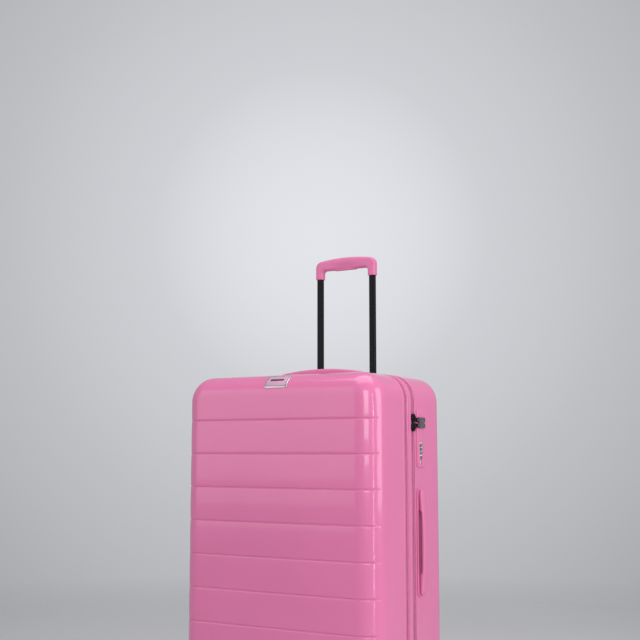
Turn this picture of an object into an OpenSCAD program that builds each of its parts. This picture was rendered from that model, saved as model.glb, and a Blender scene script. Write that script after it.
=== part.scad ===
// Hard shell suitcase on four swivelling twin wheels, with a pull-out trolley handle.
// Origin on the floor under the middle of the body: +X to the lock side, -Y to the front,
// +Y to the trolley side, +Z up. Millimetres.

/* [Body] */
// Width of the body across the front
body_w = 484; // [440:2:520]
// Depth of the body from front panel to back panel
body_t = 330; // [300:5:360]
// Height of the body without its wheels
body_h = 707; // [690:1:760]
// Gap between the floor and the underside of the body
floor_gap = 60; // [60:1:66]
// Radius of every outer edge and corner
edge_r = 50; // [40:1:55]
// Thickness of the moulded shells
wall = 3; // [2.5:0.5:4]

/* [Pressed panels] */
// Number of horizontal grooves on each main panel
groove_count = 8; // [4:1:8]
// Distance from one groove to the next
groove_pitch = 71.4; // [60:0.2:72]
// Height of one groove
groove_w = 4; // [3:0.5:6]
// Depth of one groove
groove_d = 1.5; // [1:0.1:1.8]

/* [Zips and expansion] */
// Depth of the rear shell, from the back panel to its rim
rear_depth = 153; // [148:1:158]
// Width of the band between the expansion zip and the main zip
band_w = 16; // [14:1:18]
// Width of the gap that each zip fills between two rims
zip_gap = 16; // [14:1:18]
// How far the front moves out when the expansion zip is open
expansion = 30; // [20:1:35]

/* [Trolley] */
// Distance of each post from the middle
post_x = 71; // [60:1:80]
// Width of a post across the case
post_w = 14.5; // [12:0.5:15]
// Depth of a post from front to back
post_t = 10; // [8:0.5:10]
// How far the trolley handle pulls out
trolley_travel = 286; // [200:1:300]
// Height of the grip from the feet of its legs to its crown
grip_h = 49; // [44:1:52]

/* [Carry handles] */
// Length of a carry handle
handle_len = 220; // [200:2:230]
// Width of a carry handle
handle_w = 14; // [12:1:20]
// Height of the side handle's arch above the shell
side_handle_rise = 14; // [12:1:18]
// Height of the top handle's arch above the shell
top_handle_rise = 22; // [18:1:24]
// How far a carry handle lifts when it is pulled
handle_lift = 6; // [4:1:8]
// Height of the middle of the side handle above the floor
side_handle_z = 412; // [380:2:440]

/* [Lock] */
// Height of the lock housing
lock_h = 122; // [115:1:130]
// Width of the lock housing
lock_w = 40; // [38:1:46]
// Height of the middle of the lock above the floor
lock_z = 631; // [610:1:640]

/* [Wheels] */
// Radius of a wheel
wheel_r = 22; // [20:0.5:22]
// Width of one wheel of a pair
wheel_w = 11; // [10:0.5:12]
// Distance of each caster's swivel axis from the middle, across the case
caster_x = 180; // [170:1:182]
// Distance of each caster's swivel axis from the middle, front to back
caster_y = 100; // [90:1:102]
// How far the axle trails behind the swivel axis
caster_trail = 12; // [8:1:14]

/* [Hidden] */
$fn = 64;

pink = [0.86, 0.48, 0.64];
deep_pink = [0.66, 0.28, 0.44];
black = [0.09, 0.09, 0.10];
grey = [0.62, 0.62, 0.64];
silver = [0.80, 0.80, 0.82];
white = [0.92, 0.92, 0.90];

// Main planes of the body
half_w = body_w / 2;
half_t = body_t / 2;
z_low = floor_gap;
z_top = floor_gap + body_h;
z_mid = (z_low + z_top) / 2;
top_panel = 97.2;             // height of the plain panel above the uppermost groove

// Rims and zip lines, from the back panel forwards
y_rear_rim = half_t - rear_depth;
y_main_zip = y_rear_rim - zip_gap / 2;
y_band_rear = y_rear_rim - zip_gap;
y_band_front = y_band_rear - band_w;
y_exp_zip = y_band_front - zip_gap / 2;
y_front_rim = y_band_front - zip_gap;
front_depth = half_t + y_front_rim;
zip_clear = 0.2;              // half the gap between two closed rows of teeth
tape_t = 1.2;                 // thickness of the zip tape
teeth_w = 3.6;                // width of one row of teeth
teeth_drop = 1.2;             // how far the teeth lie below the shell surface
tape_lap = 4.8;               // how far a tape runs on behind the rim

// Trolley
post_y = half_t - 19;
tube_w = post_w + 5;
tube_t = post_t + 5;
tube_bore_w = post_w + 1;
tube_bore_t = post_t + 1;
guide_clear = 0.05;
guide_h = 12;
well_floor = z_top - 40;
bezel_w = 200;
bezel_y = post_y - 21;
bezel_rise = 2;
bezel_floor = 2;
bezel_r = 24;                 // radius of the bezel's rear top edge
grip_leg = 20;
grip_t = 18;
grip_w = 2 * post_x + grip_leg;
grip_foot = well_floor + bezel_floor + trolley_travel;
grip_top = grip_foot + grip_h;
grip_bar = 29;
grip_crown = 5;
grip_under = grip_top - grip_bar;
post_seat = 9;                // depth of a post inside its leg of the grip
post_overlap = 85;            // length of post still inside its outer tube when pulled out
tube_foot = 130;
tube_top = well_floor - bezel_floor - guide_h;
foot_h = 20;
foot_lap = 16;                // how far the foot reaches beyond each post axis

// Button in the underside of the grip
button_len = 60;
button_t = 10;
button_travel = 4;
button_h = 8;
button_proud = 1.5;
rod_r = 1.8;
rod_room = 0.6;               // radial room round a push rod
rod_top = 7;                  // height of a push rod's top above the grip's underside
cross_t = 2.5;                // height of the crossbar between the push rods
cross_half = 2;

// Carry handles
handle_y = y_rear_rim + 21;
handle_end_rise = 8;
handle_gap = 7;               // height of the finger gap's straight top above the shell
cup_len = 206;
cup_w = 22;
cup_d = 14;
cup_wall = 2;
finger_len = 134;
flange_r = 12;
stem_boss = 8;                // length of a stem's boss below the cup
flange_t = 1.6;
stem_r = 3;
stem_x = 88;
stem_len = 12 + handle_lift;
fit_gap = 0.05;               // radial clearance of a running fit
gap = 0.3;                    // clearance between faces that pass each other

// Lock
lock_y = y_rear_rim + 9;
lock_face = 2.3;
lock_deep = 21;
lock_bore = 12;               // depth of the button and key holes below the shell surface
window_w = 15;
dial_r = 9;
dial_w = 6;
dial_pitch = 8.2;
dial_room = 0.6;              // radial room round a dial
dial_x = half_w - 5.5;
dial_y = lock_y + lock_w / 2 - 3;
dial_z = lock_z - 23;
button_z = lock_z - 41.5;
button_r = 3.5;
button_len_x = 11.5;
key_z = lock_z - 52;
key_r = 4;
key_len = 11;

// Zip sliders and their tabs
slider_len = 18.5;
slider_w = 15;
slider_t = 4;
slider_r = 4;
ear_t = 1.7;
ear_in = 2.3;                 // distance of an ear's inner face from the tab's middle
ear_half = 2.6;
ear_start = 5;                // distance from the zip line to the root of an ear
slider_z = lock_z + 33;       // height at which the two sliders meet
tab_len = 30;
tab_w = 11;
tab_t = 2.6;
tab_r = 4;
tab_neck = 4;                 // distance from the pin to the near end of the tab
tab_pin_r = 1.2;
tab_pin_y = y_main_zip + 14;
tab_pin_x = half_w + 5.2;

// Badge on the front top rounding
badge_w = 58;
badge_t = 2.2;
badge_from = 20;
badge_to = 68;
badge_rim = 4;                // width of the frame round the plate
badge_rim_angle = 6;
badge_floor = 0.8;

// Casters
housing_r = 31;
housing_h = 9.5;
boss_r = 14;
boss_h = 22;
stem_swivel_r = 6;
swivel_gap = 0.5;
fork_disc_r = 24;
fork_disc_h = 4;
web_t = 5;
axle_r = 3;
axle_end = 1.5;               // how far the axle stands out of a wheel
eye_r = 9;                    // radius of the web round the axle
hub_r = 14;
tread = web_t / 2 + 0.6;      // distance of a wheel's inner face from the middle
screw_r = 3.5;
screw_h = 2.2;
screw_reach = boss_r + 7;     // distance of a screw from the swivel axis
z_housing = floor_gap - housing_h;
z_fork = z_housing - swivel_gap - fork_disc_h;

// ---------- shared shapes ----------

// A box given by its lowest and highest corners
module block(lo, hi) {
  translate(lo) cube(hi - lo);
}

// A quarter disc in the first quadrant
module quarter(r) {
  intersection() {
    circle(r);
    square(r);
  }
}

// A quarter ring in the first quadrant
module quarter_ring(r, t) {
  difference() {
    quarter(r);
    circle(r - t);
  }
}

// A rectangle round its own middle with round corners
module rounded(w, h, r) {
  a = w / 2;
  b = h / 2;
  polygon([[r - a, -b], [a - r, -b], [a - r, r - b], [a, r - b], [a, b - r], [a - r, b - r],
    [a - r, b], [r - a, b], [r - a, b - r], [-a, b - r], [-a, r - b], [r - a, r - b]]);
  for (q = [[1, 1, 0], [-1, 1, 90], [-1, -1, 180], [1, -1, 270]])
    translate([q[0] * (a - r), q[1] * (b - r)]) rotate(q[2]) quarter(r);
}

// A slot with round ends, along X
module stadium(len, w) {
  square([len - w, w], center = true);
  for (s = [-1, 1]) translate([s * (len - w) / 2, 0]) circle(w / 2);
}

// A flat outline in X and Z, extruded from y0 to y1
module along_y(y0, y1) {
  translate([0, y1, 0]) rotate([90, 0, 0]) linear_extrude(y1 - y0) children();
}

// A hoop round the case from y0 to y1, between two depths below the outer surface
module hoop(y0, y1, out, in) {
  translate([0, 0, z_mid]) along_y(y0, y1)
    difference() {
      rounded(body_w - 2 * out, body_h - 2 * out, edge_r - out);
      rounded(body_w - 2 * in, body_h - 2 * in, edge_r - in);
    }
}

// Plan of a shell's outside, t below the surface, its front f further in
module shell_plan(depth, t, f, over) {
  a = half_w - t;
  r = edge_r - t;
  front = t + f - half_t;
  back = depth - half_t + over;
  polygon([[r - a, front], [a - r, front], [a - r, front + r], [a, front + r], [a, back],
    [-a, back], [-a, front + r], [r - a, front + r]]);
  translate([a - r, front + r]) rotate(270) quarter(r);
  translate([r - a, front + r]) rotate(180) quarter(r);
}

// Straight part of a shell between two heights, its front f further in
module shell_wall(depth, z0, z1, f) {
  translate([0, 0, z0]) linear_extrude(z1 - z0)
    difference() {
      shell_plan(depth, 0, f, 0);
      shell_plan(depth, wall, 0, 1);
    }
}

// Top of a shell: corners, edges and the flat top
module shell_cap(depth) {
  x = half_w - edge_r;
  y = edge_r - half_t;
  rim = depth - half_t;
  z = z_top - edge_r;
  for (s = [-1, 1]) {
    translate([s * x, y, z]) rotate(s > 0 ? 270 : 180) rotate_extrude(angle = 90)
      quarter_ring(edge_r, wall);
    translate([s * x, 0, z]) along_y(y, rim) mirror([s > 0 ? 0 : 1, 0])
      quarter_ring(edge_r, wall);
  }
  translate([-x, y, z]) rotate([90, 0, 90]) linear_extrude(2 * x) mirror([1, 0])
    quarter_ring(edge_r, wall);
  block([-x, y, z_top - wall], [x, rim, z_top]);
}

// Turns children upside down about the middle of the body
module upside_down() {
  translate([0, 0, 2 * z_mid]) mirror([0, 0, 1]) children();
}

// Middle height of each groove, from the top
groove_z = [for (i = [0 : groove_count - 1]) z_top - top_panel - i * groove_pitch];

// Half of the case, its main panel at the front
module half_shell(depth) {
  low = z_low + edge_r;
  high = z_top - edge_r;
  edges = concat([high], [for (z = groove_z) each [z + groove_w / 2, z - groove_w / 2]], [low]);
  for (i = [0 : len(edges) - 2])
    shell_wall(depth, edges[i + 1], edges[i], i % 2 == 0 ? 0 : groove_d);
  shell_cap(depth);
  upside_down() shell_cap(depth);
}

// Places children at the two casters of one half, side = -1 front or 1 rear
module at_casters(side) {
  for (s = [-1, 1]) translate([s * caster_x, side * caster_y, 0]) children();
}

// Moves a carry handle, drawn along X with +Z outwards, to the top or to the side
module on_top() {
  translate([0, handle_y, z_top]) children();
}

module on_side() {
  translate([half_w, handle_y, side_handle_z]) rotate([0, 90, 0]) children();
}

// Half of a zip: tape behind the shell, and its row of teeth beside the line
module zip_half(line, dir) {
  edge = line + dir * zip_clear;
  tape_end = line + dir * (zip_gap / 2 + tape_lap);
  teeth_end = edge + dir * teeth_w;
  hoop(min(edge, tape_end), max(edge, tape_end), wall, wall + tape_t);
  hoop(min(edge, teeth_end), max(edge, teeth_end), teeth_drop, wall);
}

// ---------- rear half ----------

module rear_shell() {
  color(pink) difference() {
    mirror([0, 1, 0]) half_shell(rear_depth);
    block([half_w - 9, lock_y, lock_z - lock_h / 2], [half_w + 1, lock_y + lock_w, lock_z + lock_h / 2]);
    on_top() handle_hole();
    on_side() handle_hole();
    block([-bezel_w / 2, bezel_y, well_floor - bezel_floor], [bezel_w / 2, half_t + 1, z_top + 1]);
    at_casters(1) translate([0, 0, floor_gap - 1]) cylinder(h = wall + 2, r = boss_r);
  }
}

module handle_hole() {
  translate([0, 0, -wall - 1]) linear_extrude(wall + 2) square([cup_len, cup_w], center = true);
}

module rear_zip() {
  color(deep_pink) zip_half(y_main_zip, 1);
}

module hinge_tape() {
  color(black) block([wall + tape_t - half_w, y_main_zip + 1, z_low + 2 * edge_r],
    [wall + tape_t + 1 - half_w, y_rear_rim + 8, z_top - 2 * edge_r]);
}

lining_t = 2;
rear_tray = [[10 - half_w, y_rear_rim + 23, z_low + 28], [half_w - 24, bezel_y - 2, z_top - 30]];
tray_mid = (rear_tray[0] + rear_tray[1]) / 2;

// A tray with its open side facing -Y
module tray(lo, hi) {
  difference() {
    block(lo, hi);
    block(lo + [lining_t, -1, lining_t], hi - [lining_t, lining_t, lining_t]);
  }
}

module rear_lining() {
  color(grey) tray(rear_tray[0], rear_tray[1]);
}

strap_w = 38;
strap_t = 1.4;
strap_run = 430;
strap_lean = 38;
strap_y = rear_tray[0][1] + 3;
buckle_w = 56;
buckle_h = 44;
buckle_t = 8;

// One strap from corner to corner of the rear compartment
module strap(side, y) {
  translate([tray_mid[0], y, tray_mid[2]]) rotate([0, side * strap_lean, 0])
    block([-strap_run / 2, 0, -strap_w / 2], [strap_run / 2, strap_t, strap_w / 2]);
}

module cross_straps() {
  color(black) {
    strap(1, strap_y);
    strap(-1, strap_y + strap_t + gap);
  }
}

module strap_buckle() {
  color(black) translate([tray_mid[0], 0, tray_mid[2]]) along_y(strap_y - buckle_t, strap_y)
    rounded(buckle_w, buckle_h, buckle_t);
}

// Round hole into the lock's face
module lock_hole(z, r) {
  translate([half_w - lock_bore, dial_y, z]) rotate([0, 90, 0])
    cylinder(h = lock_bore + lock_face + 1, r = r);
}

module lock_housing() {
  color(pink) difference() {
    block([half_w - lock_deep, lock_y, lock_z - lock_h / 2],
      [half_w + lock_face, lock_y + lock_w, lock_z + lock_h / 2]);
    for (i = [-1 : 1]) translate([dial_x, dial_y, dial_z + i * dial_pitch - dial_w / 2 - gap])
      cylinder(h = dial_w + 2 * gap, r = dial_r + dial_room);
    block([dial_x, dial_y - window_w / 2, dial_z - 1.5 * dial_pitch],
      [half_w + lock_face + 1, dial_y + window_w / 2, dial_z + 1.5 * dial_pitch]);
    lock_hole(button_z, button_r + gap);
    lock_hole(key_z, key_r + fit_gap);
  }
}

module trolley_bezel() {
  r = bezel_r;
  low = well_floor - bezel_floor;
  top = z_top + bezel_rise;
  color(black) difference() {
    translate([-bezel_w / 2, 0, 0]) rotate([90, 0, 90]) linear_extrude(bezel_w) union() {
      polygon([[bezel_y, low], [half_t, low], [half_t, top - r],
        [half_t - r, top - r], [half_t - r, top], [bezel_y, top]]);
      translate([half_t - r, top - r]) quarter(r);
    }
    block([-grip_w / 2 - 3, post_y - grip_t / 2 - 2, well_floor],
      [grip_w / 2 + 3, post_y + grip_t / 2 + 2, top + 1]);
    for (s = [-1, 1]) block([s * post_x - post_w / 2 - gap, post_y - post_t / 2 - gap, low - 1],
      [s * post_x + post_w / 2 + gap, post_y + post_t / 2 + gap, well_floor + 1]);
  }
}

// A rectangular tube on each post axis
module post_tubes(z0, z1, w, t, bore_w, bore_t) {
  for (s = [-1, 1]) translate([s * post_x, post_y, z0]) linear_extrude(z1 - z0)
    difference() {
      square([w, t], center = true);
      square([bore_w, bore_t], center = true);
    }
}

module trolley_outer_tubes() {
  color(silver) post_tubes(tube_foot, tube_top, tube_w, tube_t, tube_bore_w, tube_bore_t);
}

module trolley_guides() {
  color(black) post_tubes(tube_top, tube_top + guide_h, tube_w, tube_t,
    post_w + 2 * guide_clear, post_t + 2 * guide_clear);
}

module trolley_foot() {
  color(black) block([-post_x - foot_lap, post_y - 9, tube_foot - foot_h],
    [post_x + foot_lap, half_t - wall, tube_foot]);
}

// A carry handle's base: flange, finger cup and two bosses for the stems
module handle_base() {
  difference() {
    union() {
      linear_extrude(flange_t) rounded(cup_len + cup_w, cup_w + 4, flange_r);
      block([-cup_len / 2, -cup_w / 2, -cup_d], [cup_len / 2, cup_w / 2, 0]);
      for (s = [-1, 1]) translate([s * stem_x, 0, -cup_d - stem_boss])
        cylinder(h = stem_boss + 1, r = stem_r + 3);
    }
    block([-finger_len / 2, cup_wall - cup_w / 2, cup_wall - cup_d],
      [finger_len / 2, cup_w / 2 - cup_wall, flange_t + 1]);
    for (s = [-1, 1]) translate([s * stem_x, 0, 1 - cup_d - stem_boss])
      cylinder(h = cup_d + stem_boss + flange_t, r = stem_r + fit_gap);
  }
}

module top_handle_base() {
  color(pink) on_top() handle_base();
}

module side_handle_base() {
  color(pink) on_side() handle_base();
}

// Screw heads inside the shell, beside each caster's boss and towards the middle
module boss_screws(side) {
  for (s = [-1, 1], turn = [0, 1])
    translate([s * (caster_x - (1 - turn) * screw_reach),
        side * (caster_y - turn * screw_reach), floor_gap + wall])
      cylinder(h = screw_h, r = screw_r);
}

module rear_screws() {
  color(silver) boss_screws(1);
}

// ---------- trolley handle ----------

module trolley_inner_tubes() {
  color(black) post_tubes(well_floor - post_overlap, grip_foot + post_seat,
    post_w, post_t, post_w - 2, post_t - 2);
}

// Crowned outline of the grip in X and Z, from its feet at z = 0
module grip_outline() {
  half = grip_w / 2;
  steps = 16;
  crown = [for (i = [0 : steps]) let (u = 2 * i / steps - 1) [half * u, grip_h - grip_crown * u * u]];
  inner = half - grip_leg;
  polygon(concat([[-half, 0]], crown, [[half, 0], [inner, 0], [inner, grip_h - grip_bar],
    [-inner, grip_h - grip_bar], [-inner, 0]]));
}

module trolley_grip() {
  color(pink) difference() {
    translate([0, 0, grip_foot]) along_y(post_y - grip_t / 2, post_y + grip_t / 2) grip_outline();
    for (s = [-1, 1]) {
      block([s * post_x - post_w / 2, post_y - post_t / 2, grip_foot - 1],
        [s * post_x + post_w / 2, post_y + post_t / 2, grip_foot + post_seat]);
      translate([s * post_x, post_y, grip_foot])
        cylinder(h = grip_under + rod_top + 1 - grip_foot, r = rod_r + rod_room);
    }
    translate([0, post_y, grip_under - 1]) linear_extrude(2 * button_h + 1)
      stadium(button_len + 2 * gap, button_t + 2 * gap);
    block([-post_x - rod_r - 2, post_y - cross_half - 0.5, grip_under + 5],
      [post_x + rod_r + 2, post_y + cross_half + 0.5, grip_under + 10 + button_travel]);
  }
}

module trolley_button() {
  color(deep_pink) translate([0, post_y, grip_under - button_proud]) linear_extrude(button_h)
    stadium(button_len, button_t);
}

module trolley_push_rods() {
  cross_z = grip_under + button_h - button_proud;
  rod_foot = well_floor - post_overlap + 6;
  color(silver) {
    block([-post_x - rod_r - 1, post_y - cross_half, cross_z],
      [post_x + rod_r + 1, post_y + cross_half, cross_z + cross_t]);
    for (s = [-1, 1]) translate([s * post_x, post_y, rod_foot])
      cylinder(h = grip_under + rod_top - rod_foot, r = rod_r);
  }
}

// ---------- carry handles ----------

// Arched bar, flat ended, with a stem at each end
module carry_handle(rise) {
  half = handle_len / 2;
  steps = 20;
  rest_z = flange_t + gap;
  outer = [for (i = [0 : steps]) let (u = 1 - 2 * i / steps)
    [half * u, rise - (rise - handle_end_rise) * u * u]];
  open = finger_len / 2;
  inner = [[-half, rest_z], [-open - 4, rest_z], [-open, handle_gap], [open, handle_gap],
    [open + 4, rest_z], [half, rest_z]];
  along_y(-handle_w / 2, handle_w / 2) polygon(concat(outer, inner));
  for (s = [-1, 1]) translate([s * stem_x, 0, rest_z + 1 - stem_len]) cylinder(h = stem_len, r = stem_r);
}

module top_handle() {
  color(pink) on_top() carry_handle(top_handle_rise);
}

module side_handle() {
  color(pink) on_side() carry_handle(side_handle_rise);
}

// ---------- zip sliders ----------

// Slider on the lock side, its near end at z0, with two ears for the tab's pin
module zip_slider(z0, tab_z) {
  difference() {
    union() {
      translate([half_w - teeth_drop + gap, y_main_zip, z0 + slider_len / 2]) rotate([0, 90, 0])
        linear_extrude(slider_t) rounded(slider_len, slider_w, slider_r);
      for (z = [tab_z - ear_in - ear_t, tab_z + ear_in])
        block([half_w + 1, y_main_zip + ear_start, z], [tab_pin_x + ear_half, tab_pin_y + ear_half, z + ear_t]);
    }
    translate([tab_pin_x, tab_pin_y, tab_z - 5]) cylinder(h = 10, r = tab_pin_r + fit_gap);
  }
}

// Pull tab lying back over the lock, with its pin
module pull_tab(z) {
  y0 = tab_pin_y + tab_neck;
  translate([tab_pin_x, tab_pin_y, z - 4]) cylinder(h = 8, r = tab_pin_r);
  block([tab_pin_x - tab_t / 2, tab_pin_y, z - 2], [tab_pin_x + tab_t / 2, y0 + 1, z + 2]);
  translate([tab_pin_x - tab_t / 2, y0 + tab_len / 2, z]) rotate([0, 90, 0])
    linear_extrude(tab_t) rounded(tab_w, tab_len, tab_r);
}

tab_upper_z = slider_z + tab_w / 2 + 0.4;
tab_lower_z = slider_z - tab_w / 2 - 0.4;

module zip_slider_upper() {
  color(black) zip_slider(slider_z + gap / 2, tab_upper_z);
}

module zip_slider_lower() {
  color(black) zip_slider(slider_z - gap / 2 - slider_len, tab_lower_z);
}

module pull_tab_upper() {
  color(grey) pull_tab(tab_upper_z);
}

module pull_tab_lower() {
  color(grey) pull_tab(tab_lower_z);
}

// Slider of the expansion zip, low on the hinge side
module expander_slider() {
  z = z_low + 2 * edge_r;
  color(black) translate([teeth_drop - gap - half_w, y_exp_zip, z]) rotate([0, -90, 0])
    linear_extrude(slider_t) rounded(slider_len, slider_w - 2, slider_r - 1);
}

// ---------- lock parts ----------

module lock_dial(i) {
  color(white) difference() {
    translate([dial_x, dial_y, dial_z + i * dial_pitch - dial_w / 2]) cylinder(h = dial_w, r = dial_r);
    for (a = [0 : 36 : 324]) translate([dial_x, dial_y, dial_z + i * dial_pitch - dial_w / 2 - 1])
      rotate(a + 18) translate([dial_r + 0.5, 0, 0]) cylinder(h = dial_w + 2, r = 1);
  }
}

module lock_dial_1() {
  lock_dial(1);
}

module lock_dial_2() {
  lock_dial(0);
}

module lock_dial_3() {
  lock_dial(-1);
}

module lock_button() {
  color(grey) translate([half_w - 8, dial_y, button_z]) rotate([0, 90, 0])
    cylinder(h = button_len_x, r = button_r);
}

module lock_key_plug() {
  color(silver) translate([half_w - key_len, dial_y, key_z]) rotate([0, 90, 0]) difference() {
    cylinder(h = key_len + lock_face, r = key_r);
    translate([0, 0, key_len]) linear_extrude(lock_face + 1) square([1, 5], center = true);
  }
}

// ---------- band between the two zips ----------

module expander_band() {
  color(pink) hoop(y_band_front, y_band_rear, 0, wall);
}

module band_zips() {
  mid = (y_band_front + y_band_rear) / 2;
  color(deep_pink) {
    hoop(y_exp_zip + zip_clear, mid, wall, wall + tape_t);
    hoop(mid, y_main_zip - zip_clear, wall, wall + tape_t);
    hoop(y_exp_zip + zip_clear, y_exp_zip + zip_clear + teeth_w, teeth_drop, wall);
    hoop(y_main_zip - zip_clear - teeth_w, y_main_zip - zip_clear, teeth_drop, wall);
  }
}

// Folded cloth sleeve that bridges the gap when the front is moved out
module expander_gusset() {
  in = wall + tape_t;
  color(grey) {
    hoop(y_band_front, y_band_rear, in, in + 1.6);
    hoop(y_front_rim - expansion - 2, y_band_front, in + 0.6, in + 1.6);
  }
}

// ---------- front half ----------

module front_shell() {
  color(pink) difference() {
    half_shell(front_depth);
    at_casters(-1) translate([0, 0, floor_gap - 1]) cylinder(h = wall + 2, r = boss_r);
  }
}

module front_zip() {
  color(deep_pink) zip_half(y_exp_zip, -1);
}

front_inset = 15;             // gap from the shell's outside to the front lining
front_floor = 20 - half_t;    // outer face of the front lining's flat panel
front_low = z_low + 26;

// Outline of the front lining, t inside its own outer face
module front_lining_outline(t) {
  h = z_top - front_inset - front_low;
  in = front_inset + t;
  translate([0, front_low + h / 2]) rounded(body_w - 2 * in, h - 2 * t, edge_r - in);
}

module front_lining() {
  mouth = y_front_rim - expansion - 6;
  color(grey) {
    along_y(front_floor, front_floor + lining_t) front_lining_outline(0);
    along_y(front_floor + lining_t, mouth) difference() {
      front_lining_outline(0);
      front_lining_outline(lining_t);
    }
  }
}

module front_pocket() {
  y = front_floor + lining_t;
  color(black) translate([0, 0, z_mid + 60]) along_y(y, y + 4) rounded(360, 240, 12);
}

// Arc of a curved plate on the front top rounding, from angle a to angle b above the front
module rounding_plate(w, r0, r1, a, b) {
  x = edge_r - half_t;
  translate([-w / 2, x, z_top - edge_r]) rotate([180 - b, 0, 0]) rotate([0, 90, 0]) rotate([0, 0, 90])
    rotate_extrude(angle = b - a) translate([r0, 0]) square([r1 - r0, w]);
}

module badge_frame() {
  color(silver) difference() {
    rounding_plate(badge_w, edge_r, edge_r + badge_t, badge_from, badge_to);
    rounding_plate(badge_w - 2 * badge_rim, edge_r + badge_floor, edge_r + badge_t + 1,
      badge_from + badge_rim_angle, badge_to - badge_rim_angle);
  }
}

module badge_plate() {
  color(pink) rounding_plate(badge_w - 2 * badge_rim - 1, edge_r + badge_floor, edge_r + badge_t - 0.4,
    badge_from + badge_rim_angle + 1, badge_to - badge_rim_angle - 1);
}

module front_screws() {
  color(silver) boss_screws(-1);
}

// ---------- casters ----------

module at_caster(side_x, side_y) {
  translate([side_x * caster_x, side_y * caster_y, 0]) children();
}

module caster_housing() {
  color(black) difference() {
    union() {
      translate([0, 0, z_housing]) cylinder(h = housing_h, r = housing_r);
      translate([0, 0, floor_gap - 1]) cylinder(h = boss_h, r = boss_r);
    }
    translate([0, 0, z_housing - 1]) cylinder(h = housing_h + boss_h - 3, r = stem_swivel_r + fit_gap);
  }
}

// Swivelling fork: disc, stem and the web that holds the axle behind the swivel axis
module caster_fork() {
  color(black) difference() {
    union() {
      translate([0, 0, z_fork]) cylinder(h = fork_disc_h, r = fork_disc_r);
      translate([0, 0, z_fork]) cylinder(h = fork_disc_h + housing_h + boss_h - 6, r = stem_swivel_r);
      translate([0, caster_trail, 0]) fork_web();
    }
    translate([-10, caster_trail, wheel_r]) rotate([0, 90, 0]) cylinder(h = 20, r = axle_r);
  }
}

// Upright web between the two wheels
module fork_web() {
  translate([-web_t / 2, 0, 0]) rotate([90, 0, 90]) linear_extrude(web_t) union() {
    polygon([[-24, z_fork], [-8, wheel_r - 4], [8, wheel_r - 4], [8, z_fork]]);
    translate([0, wheel_r]) circle(eye_r);
  }
}

module caster_axle() {
  half = tread + wheel_w + axle_end;
  color(silver) translate([-half, caster_trail, wheel_r]) rotate([0, 90, 0])
    cylinder(h = 2 * half, r = axle_r);
}

// One wheel of the pair, side = -1 or 1
module caster_wheel(side) {
  h = wheel_w / 2;
  color(black) translate([side * (tread + wheel_w / 2), caster_trail, wheel_r]) rotate([0, 90, 0])
    rotate_extrude() polygon([[axle_r + fit_gap, -h], [hub_r, -h], [hub_r + 1, 1 - h],
      [wheel_r - 1.5, 1 - h], [wheel_r, 2.5 - h], [wheel_r, h - 2.5], [wheel_r - 1.5, h - 1],
      [hub_r + 1, h - 1], [hub_r, h], [axle_r + fit_gap, h]]);
}

rear_shell();
rear_zip();
rear_lining();
cross_straps();
strap_buckle();
lock_housing();
trolley_bezel();
trolley_outer_tubes();
trolley_guides();
trolley_foot();
top_handle_base();
side_handle_base();
rear_screws();
hinge_tape();
trolley_inner_tubes();
trolley_grip();
trolley_button();
trolley_push_rods();
top_handle();
side_handle();
zip_slider_upper();
zip_slider_lower();
pull_tab_upper();
pull_tab_lower();
expander_slider();
lock_dial_1();
lock_dial_2();
lock_dial_3();
lock_button();
lock_key_plug();
expander_band();
band_zips();
expander_gusset();
front_shell();
front_zip();
front_lining();
front_pocket();
badge_frame();
badge_plate();
front_screws();
at_caster(-1, -1) caster_housing();  // caster_fl_housing
at_caster(-1, -1) caster_fork();  // caster_fl_fork
at_caster(-1, -1) caster_axle();  // caster_fl_axle
at_caster(-1, -1) caster_wheel(-1);  // caster_fl_wheel_a
at_caster(-1, -1) caster_wheel(1);  // caster_fl_wheel_b
at_caster(1, -1) caster_housing();  // caster_fr_housing
at_caster(1, -1) caster_fork();  // caster_fr_fork
at_caster(1, -1) caster_axle();  // caster_fr_axle
at_caster(1, -1) caster_wheel(-1);  // caster_fr_wheel_a
at_caster(1, -1) caster_wheel(1);  // caster_fr_wheel_b
at_caster(-1, 1) caster_housing();  // caster_rl_housing
at_caster(-1, 1) caster_fork();  // caster_rl_fork
at_caster(-1, 1) caster_axle();  // caster_rl_axle
at_caster(-1, 1) caster_wheel(-1);  // caster_rl_wheel_a
at_caster(-1, 1) caster_wheel(1);  // caster_rl_wheel_b
at_caster(1, 1) caster_housing();  // caster_rr_housing
at_caster(1, 1) caster_fork();  // caster_rr_fork
at_caster(1, 1) caster_axle();  // caster_rr_axle
at_caster(1, 1) caster_wheel(-1);  // caster_rr_wheel_a
at_caster(1, 1) caster_wheel(1);  // caster_rr_wheel_b
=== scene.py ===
import math

import bmesh
import bpy
import numpy as np
from mathutils import Matrix, Vector


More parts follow.
